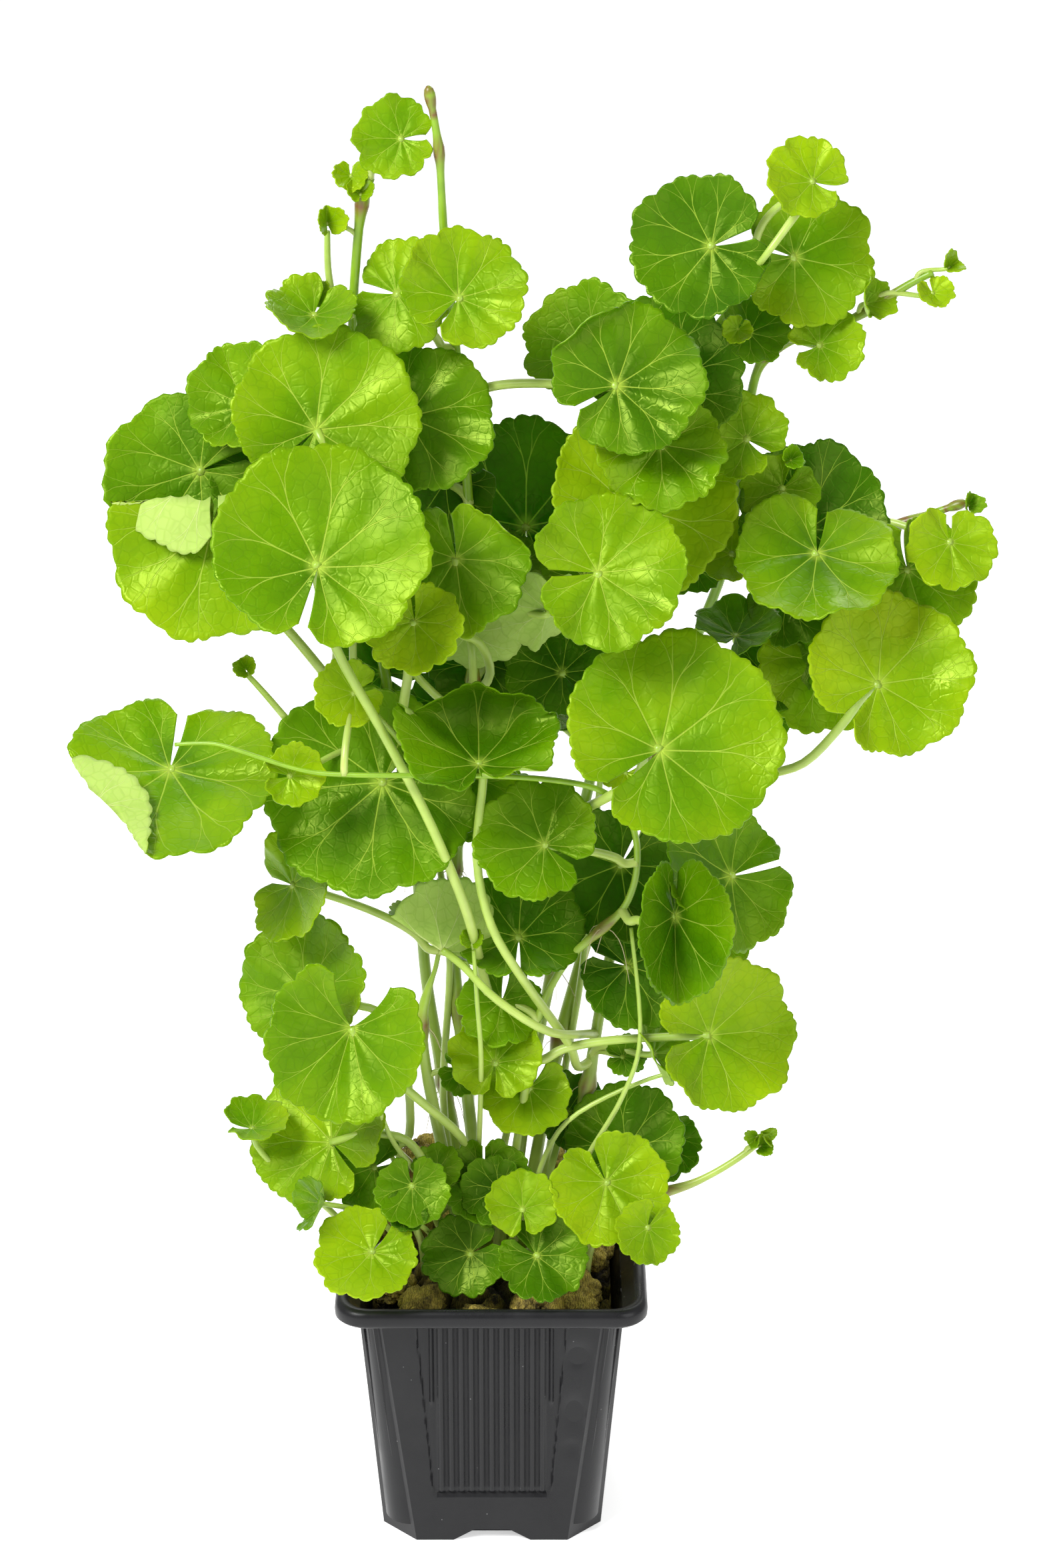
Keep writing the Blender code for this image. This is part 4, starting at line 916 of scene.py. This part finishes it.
# Leafstalks that bow clear in front of the others: x and z as seen from the front, and
# the depth, in millimetres, from the blade down to where they leave the stem.
BOWED_STALKS = {
    "leaf_left_front": ((-48, 292, -40), (-43, 270, -34), (-31, 246, -30), (-19, 221, -30), (-11, 201, -30),
                        (-6, 186, -26), (-3, 172, -14), (-1, 160, -2)),
    "leaf_left_broad": ((-38, 312, -24), (-29, 282, -22), (-23, 268, -20), (-24, 254, -14), (-27, 238, 6)),
    "leaf_left_wing": ((-69, 290, -6), (-57, 276, -8), (-47, 263, -6), (-33, 243, 8)),
    "leaf_centre_rolled": ((-10, 276, -16), (-3, 271, -16), (0, 262, -13), (-5, 254, -6)),
    "leaf_front_large": ((44, 240, -40), (41, 230, -36), (32, 224, -28), (22, 218, -14), (14, 208, 0)),
    "leaf_side_large": ((104, 255, -16), (98, 246, -12), (88, 235, -6), (76, 231, 0), (62, 226, 6)),
    "leaf_middle_rolled": ((-2, 231, -26), (-4, 206, -26), (0, 185, -26), (9, 168, -22), (22, 148, -10),
                           (25, 140, 0)),
    "leaf_inner_pale": ((-8, 172, -20), (2, 161, -24), (17, 151, -22), (29, 143, -10)),
    "leaf_left_low_front": ((-36, 144, -26), (-22, 130, -20), (-9, 117, -12), (-4, 104, -6)),
    "leaf_left_low_back": ((-40, 160, -12), (-31, 156, -10), (-25, 140, -8), (-24, 118, -4)),
    "leaf_low_left": ((-36, 118, -18), (-25, 116, -18), (-19, 106, -16), (-17, 92, -12)),
}
# Leaves that sit in their solid's place but hang or fold another way than it says: hub x
# and z as seen from the front and its depth, width, notch, opening, lean, turn, cup,
# crease along the middle in degrees, and rolled edges.
FOLDED = {
    "leaf_left_wing": (-76, 306, -12, 55, 80, 16, 16, -10, 4, 0, ((280, 5, 1.1, 170),)),
    "leaf_right_folded": (52.5, 188, -24, 42, 88, 14, 20, 8, 2, 52, ()),
    "leaf_left_low_front": (-40.5, 152.5, -26, 47, 76, 96, 22, -4, 2, 24, ()),
    "leaf_inner_pale": (-14, 177, -18, 34, 228, 16, 26, 168, 3, 44, ()),
    "leaf_right_low": (63, 150, -12, 44, 176, 22, 24, 22, 3, 12, ()),
}
for number, (name, leaf) in enumerate(LEAVES.items()):
    width, notch, opening, lean, turn, cup, fold, age_and_shade, wave, rolls = leaf
    axes = leaf_axes(notch, lean, turn)
    points = solid_points(name)
    hub = solid_hub(points, axes, width * MM, opening, cup, fold)
    # The solid's corners that lie behind the blade or past its edge are its leafstalk's.
    local = np.array([axes.transposed() @ (Vector(point) - hub) for point in points])
    reach = np.linalg.norm(local[:, :2], axis=1)
    sheet = (cup * (reach / (width * MM * 0.5)) ** 2 + fold * 2 * np.abs(local[:, 0]) / (width * MM)) * MM
    stalk = points[(local[:, 2] < sheet - 0.0014) | (reach > width * MM * 0.62)]
    crease = 0
    if name in FOLDED:
        x, z, y, width, notch, opening, lean, turn, cup, crease, rolls = FOLDED[name]
        hub, axes, fold = at_depth(x, z, y), leaf_axes(notch, lean, turn), 0
    elif opening < WIDE_NOTCH:
        opening *= NOTCH_CLOSING
    bm = open_leaf()
    draw_blade(bm, hub, axes, width, opening, cup, fold, age_and_shade, number + 1, wave, rolls, crease=crease)
    rings = ring_centres(stalk, STALK_RING, hub)
    route = [middle for middle, radius in rings]
    if name in BOWED_STALKS:
        route = [at_depth(x, z, y) for x, z, y in BOWED_STALKS[name]]
    feet = [point for line in stem_lines for point in line[4:] if point.z < route[-1].z + 0.002]
    foot = min(feet, key=lambda point: (point - route[-1]).length)
    if name in FOLDED:
        route = [point for point in route if (point - hub).dot(axes.col[2]) < -0.002] or [foot]
    if (foot - route[-1]).length > 0.003:
        route.append(foot)
    line = smooth_line([hub + axes.col[2] * 0.0002] + route, 4)
    thick = STALK_RADIUS + STALK_GAIN * width
    radii = [thick * (1.0 + 0.2 * i / len(line)) for i in range(len(line))]
    values = [1 - i / (len(line) - 1) for i in range(len(line))]
    draw_tube(bm, line, radii, sides=9, surface=STALK, values=values)
    made = add_object(name.replace("leaf_", "round_leaf_"), bm, blade_upper, blade_under, leafstalk)
    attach(made, "root")
    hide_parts(name)

# ---------------------------------------------------------------- young leaves and buds
# The small leaves and folded buds between the large ones: from each node of the stems
# and out of the medium, on short stalks of their own. They are made like the large
# blades and grouped by where they grow.
BUD_WIDTH = 8            # buds up to this wide sit on a stem
BUD_REACH = 0.012        # and have a stalk only where one is so near
CROWN_TOP, CROWN_FOOT = 130, 0.078       # leaves lower than this, in millimetres, rise from the medium
YOUNG_STALK, YOUNG_GAIN = 0.00045, 0.000022
# Hub x and z as seen from the front and its depth, width, notch, opening, lean, turn, cup,
# fold, and the leaf's green by its age and by painted shade (low for older leaves and for
# those in shade behind others).
YOUNG = {
    "young_leaves_top": (
        (-23, 413, 6, 22, 0, 30, 30, 0, 2, 0, 0.60), (-36.5, 403, 8, 9, 90, 30, 40, 0, 1, 2, 0.78),
        (-34, 398, 6, 7, 270, 30, 40, 0, 1, 2, 0.70), (-43, 390, 8, 8, 270, 30, 15, 20, 1, 5, 0.74),
        (-46, 371, 8, 7, 100, 30, 30, 0, 1, 3, 0.66), (86, 401.5, -8, 22, 330, 28, 36, 8, 2, 0, 0.74),
        (70, 360, 2, 19, 200, 26, 34, 10, 2, 0, 0.30), (67, 361, -5, 8, 60, 30, 34, 0, 1, 1, 0.66),
        (89, 356.5, -2, 21, 190, 30, 30, 8, 2, 0, 0.62), (101, 368, 3, 12, 250, 24, 20, 50, 2, 4, 0.64),
        (119, 371, 2, 10, 110, 30, 50, 10, 1, 2, 0.76), (123, 378, 3, 6, 200, 30, 40, 30, 1, 3, 0.60),
        (70, 330, -4, 25, 318, 26, 34, 4, 2, 0, 0.62), (82, 324, -14, 6, 200, 30, 30, 10, 1, 3, 0.45),
        (80, 316, 6, 22, 60, 26, 30, 0, 2, 0, 0.44), (66.5, 297, 6, 20, 300, 24, 40, 10, 2, 0, 0.70)),
    "young_leaves_right": (
        (126.5, 300.5, -8, 24, 90, 26, 34, 6, 2, 0, 0.72), (131, 311, 2, 6, 230, 30, 30, 30, 1, 3, 0.5),
        (76, 262, 4, 24, 200, 22, 34, -6, 2, 0, 0.22), (77, 248, 8, 17, 280, 24, 30, 20, 2, 0, 0.30),
        (68, 273, -4, 23, 250, 22, 72, 0, 2, 3, 0.26), (82, 284, 8, 24, 120, 22, 30, 0, 2, 0, 0.16),
        (50, 117, 10, 24, 60, 24, 30, 0, 2, 0, 0.2), (47, 144, -6, 25, 265, 20, 24, 68, 2, 5, 0.56),
        (38, 143, -4, 12, 180, 26, 40, 0, 1, 1, 0.18), (46, 87, -36, 19, 60, 34, 30, 20, 2, 0, 0.74),
        (62, 187, 2, 26, 120, 22, 30, 20, 2, 0, 0.5), (78.5, 114, -14, 6, 200, 34, 30, 20, 1, 2, 0.62),
        (80, 116.5, -13, 5, 300, 34, 20, 50, 1, 2, 0.7), (77.5, 117, -15, 5, 60, 34, 10, -40, 1, 2, 0.56)),
    "young_leaves_centre": (
        (-79, 321, 2, 45, 20, 16, 20, -6, 3, 0, 0.36),
        (-38, 256, -20, 19, 20, 30, 30, 0, 2, 1, 0.74), (-56.5, 231, -30, 17, 180, 32, 30, 0, 2, 1, 0.76),
        (16, 281, -16, 24, 100, 20, 12, 196, 2, 6, 0.60), (-13, 253, 15, 18, 30, 24, 34, 0, 2, 0, 0.10),
        (4, 226, 12, 17, 95, 24, 30, 0, 2, 0, 0.44), (38, 232, -12, 12, 30, 24, 40, 0, 1, 1, 0.95),
        (-68, 263, -6, 6, 300, 30, 30, 0, 1, 3, 0.62), (3, 161, -8, 24, 80, 24, 34, 0, 2, 0, 0.42),
        (-5.5, 180, -22, 6, 270, 30, 30, 0, 1, 3, 0.6), (-1, 265, 17, 30, 45, 22, 34, 0, 2, 0, 0.12),
        (-30, 262, 14, 26, 330, 22, 30, 0, 2, 0, 0.2), (20, 262, 10, 30, 300, 22, 34, 0, 2, 0, 0.14),
        (-12, 318, 16, 34, 20, 22, 34, 0, 2, 0, 0.12), (26, 290, 14, 30, 200, 22, 34, 0, 2, 0, 0.14),
        (52, 300, 16, 30, 200, 22, 34, 0, 2, 0, 0.18), (0, 288, 14, 30, 180, 22, 34, 0, 2, 0, 0.12),
        (-52, 318, 8, 36, 120, 22, 34, 0, 2, 0, 0.18), (-62, 322, 4, 26, 30, 22, 30, 0, 2, 0, 0.16)),
    "young_leaves_low": (
        (-70, 120, -14, 19, 190, 24, 76, 0, 2, 3, 0.62), (-37, 128, -18, 11, 10, 28, 36, 0, 1, 1, 0.32),
        (-34.5, 107, -14, 24, 20, 24, 34, 0, 2, 0, 0.28), (-23.5, 101, -30, 21, 93, 26, 36, 0, 2, 0, 0.42),
        (-16, 106, -18, 14, 270, 26, 36, 0, 1, 0, 0.32), (9, 93, -30, 20, 272, 24, 36, 0, 2, 0, 0.64),
        (1, 141, -14, 26, 265, 22, 34, 0, 2, 0, 0.60), (11, 133, -8, 26, 60, 22, 40, 0, 2, 0, 0.58),
        (-9, 139, -10, 15, 160, 26, 36, 0, 1, 0, 0.2), (-50, 95, -32, 15, 60, 24, 20, -66, 2, 4, 0.44),
        (-26, 92, -34, 12, 200, 24, 40, 0, 1, 0, 0.16), (2, 100, -20, 20, 30, 24, 36, 0, 2, 0, 0.16),
        (-40, 140, 4, 20, 20, 24, 34, 0, 2, 0, 0.3), (22, 125, 4, 22, 200, 24, 34, 0, 2, 0, 0.2)),
}
for name, leaves in YOUNG.items():
    bm = open_leaf()
    for number, leaf in enumerate(leaves):
        x, z, y, width, notch, opening, lean, turn, cup, fold, age_and_shade = leaf
        hub = at_depth(x, z, y)
        axes = leaf_axes(notch, lean, turn)
        draw_blade(bm, hub, axes, width, opening, cup, fold, age_and_shade, number * 1.7 + width, 1.3, fine=False)
        feet = [point for line in stem_lines for point in line[4:] if point.z < hub.z - 0.004]
        foot = min(feet, key=lambda point: (point - hub).length + 0.4 * abs(point.z - hub.z + 0.022))
        if z < CROWN_TOP and width > BUD_WIDTH:
            foot = Vector((hub.x * 0.55, min(hub.y * 0.4, -0.012), CROWN_FOOT))
        away = (hub - foot).length
        if width <= BUD_WIDTH and away > BUD_REACH:
            continue
        line = interpolate_bezier(foot, foot + Vector((0, -0.1, 0.5)) * away,
                                  hub - axes.col[2] * away * 0.35, hub + axes.col[2] * 0.0002, 18)
        thick = YOUNG_STALK + YOUNG_GAIN * width
        radii = [thick * (1.25 - 0.25 * i / 17) for i in range(18)]
        draw_tube(bm, line, radii, sides=7, surface=STALK)
    made = add_object(name, bm, blade_upper, blade_under, leafstalk)
    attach(made, "root")

# ---------------------------------------------------------------- bare stalks
# Thin pale stalks between the stems: young runners and old leafstalks that rise from
# the medium or branch off higher up, as plain smooth tubes. Their points are x and z as
# seen from the front and the depth, in millimetres.
BARE_LONG, BARE_SHORT = 0.0011, 0.0008   # radius of those that end above TALL, and of the others
TALL = 200
BARE = (((84, 396, -4), (80, 390, -10), (73, 380, -12), (67, 372, 0)),
        ((-6, 82, -4), (-4, 110, -10), (-3, 141, -18), (-4, 160, -21), (-5, 177, -22)),
        ((2, 82, 0), (3, 110, -2), (8, 140, -4), (6, 170, -2), (10, 205, 4)),
        ((20, 82, -4), (26, 106, -10), (38, 130, -12), (43, 150, -14), (40, 184, -12)),
        ((6, 80, -10), (12, 100, -14), (22, 122, -12), (46, 136, -10), (60, 138, -12)),
        ((-14, 80, -10), (-18, 98, -16), (-30, 118, -20), (-34, 138, -22), (-30, 150, -22)),
        ((12, 82, 8), (18, 120, 16), (26, 170, 18), (30, 220, 16), (34, 262, 14)),
        ((-2, 82, 10), (-6, 120, 18), (-4, 170, 20), (4, 220, 18), (6, 262, 16)),
        ((-10, 82, 4), (-14, 130, 4), (-12, 180, 0), (-20, 230, -4), (-32, 250, -10)),
        ((-42, 240, 6), (-43, 262, 2), (-42, 285, 0), (-44, 300, 0)),
        ((-36, 240, 6), (-38, 262, 0), (-38, 285, -2), (-40, 305, -4)),
        ((-43, 346, 10), (-42, 366, 9), (-43, 378, 9), (-43, 388, 8)),
        ((-47, 236, 0), (-56, 247, -4), (-63, 256, -6), (-68, 262, -6)))
bm = bmesh.new()
bm.verts.layers.float.new("along")
for route in BARE:
    line = smooth_line([at_depth(x, z, y) for x, z, y in route], 6)
    thick = BARE_LONG if route[-1][1] > TALL else BARE_SHORT
    radii = [thick * (1.15 - 0.45 * i / len(line)) for i in range(len(line))]
    draw_tube(bm, line, radii, sides=8, surface=0)
made = add_object("bare_stalks", bm, leafstalk)
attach(made, "root")
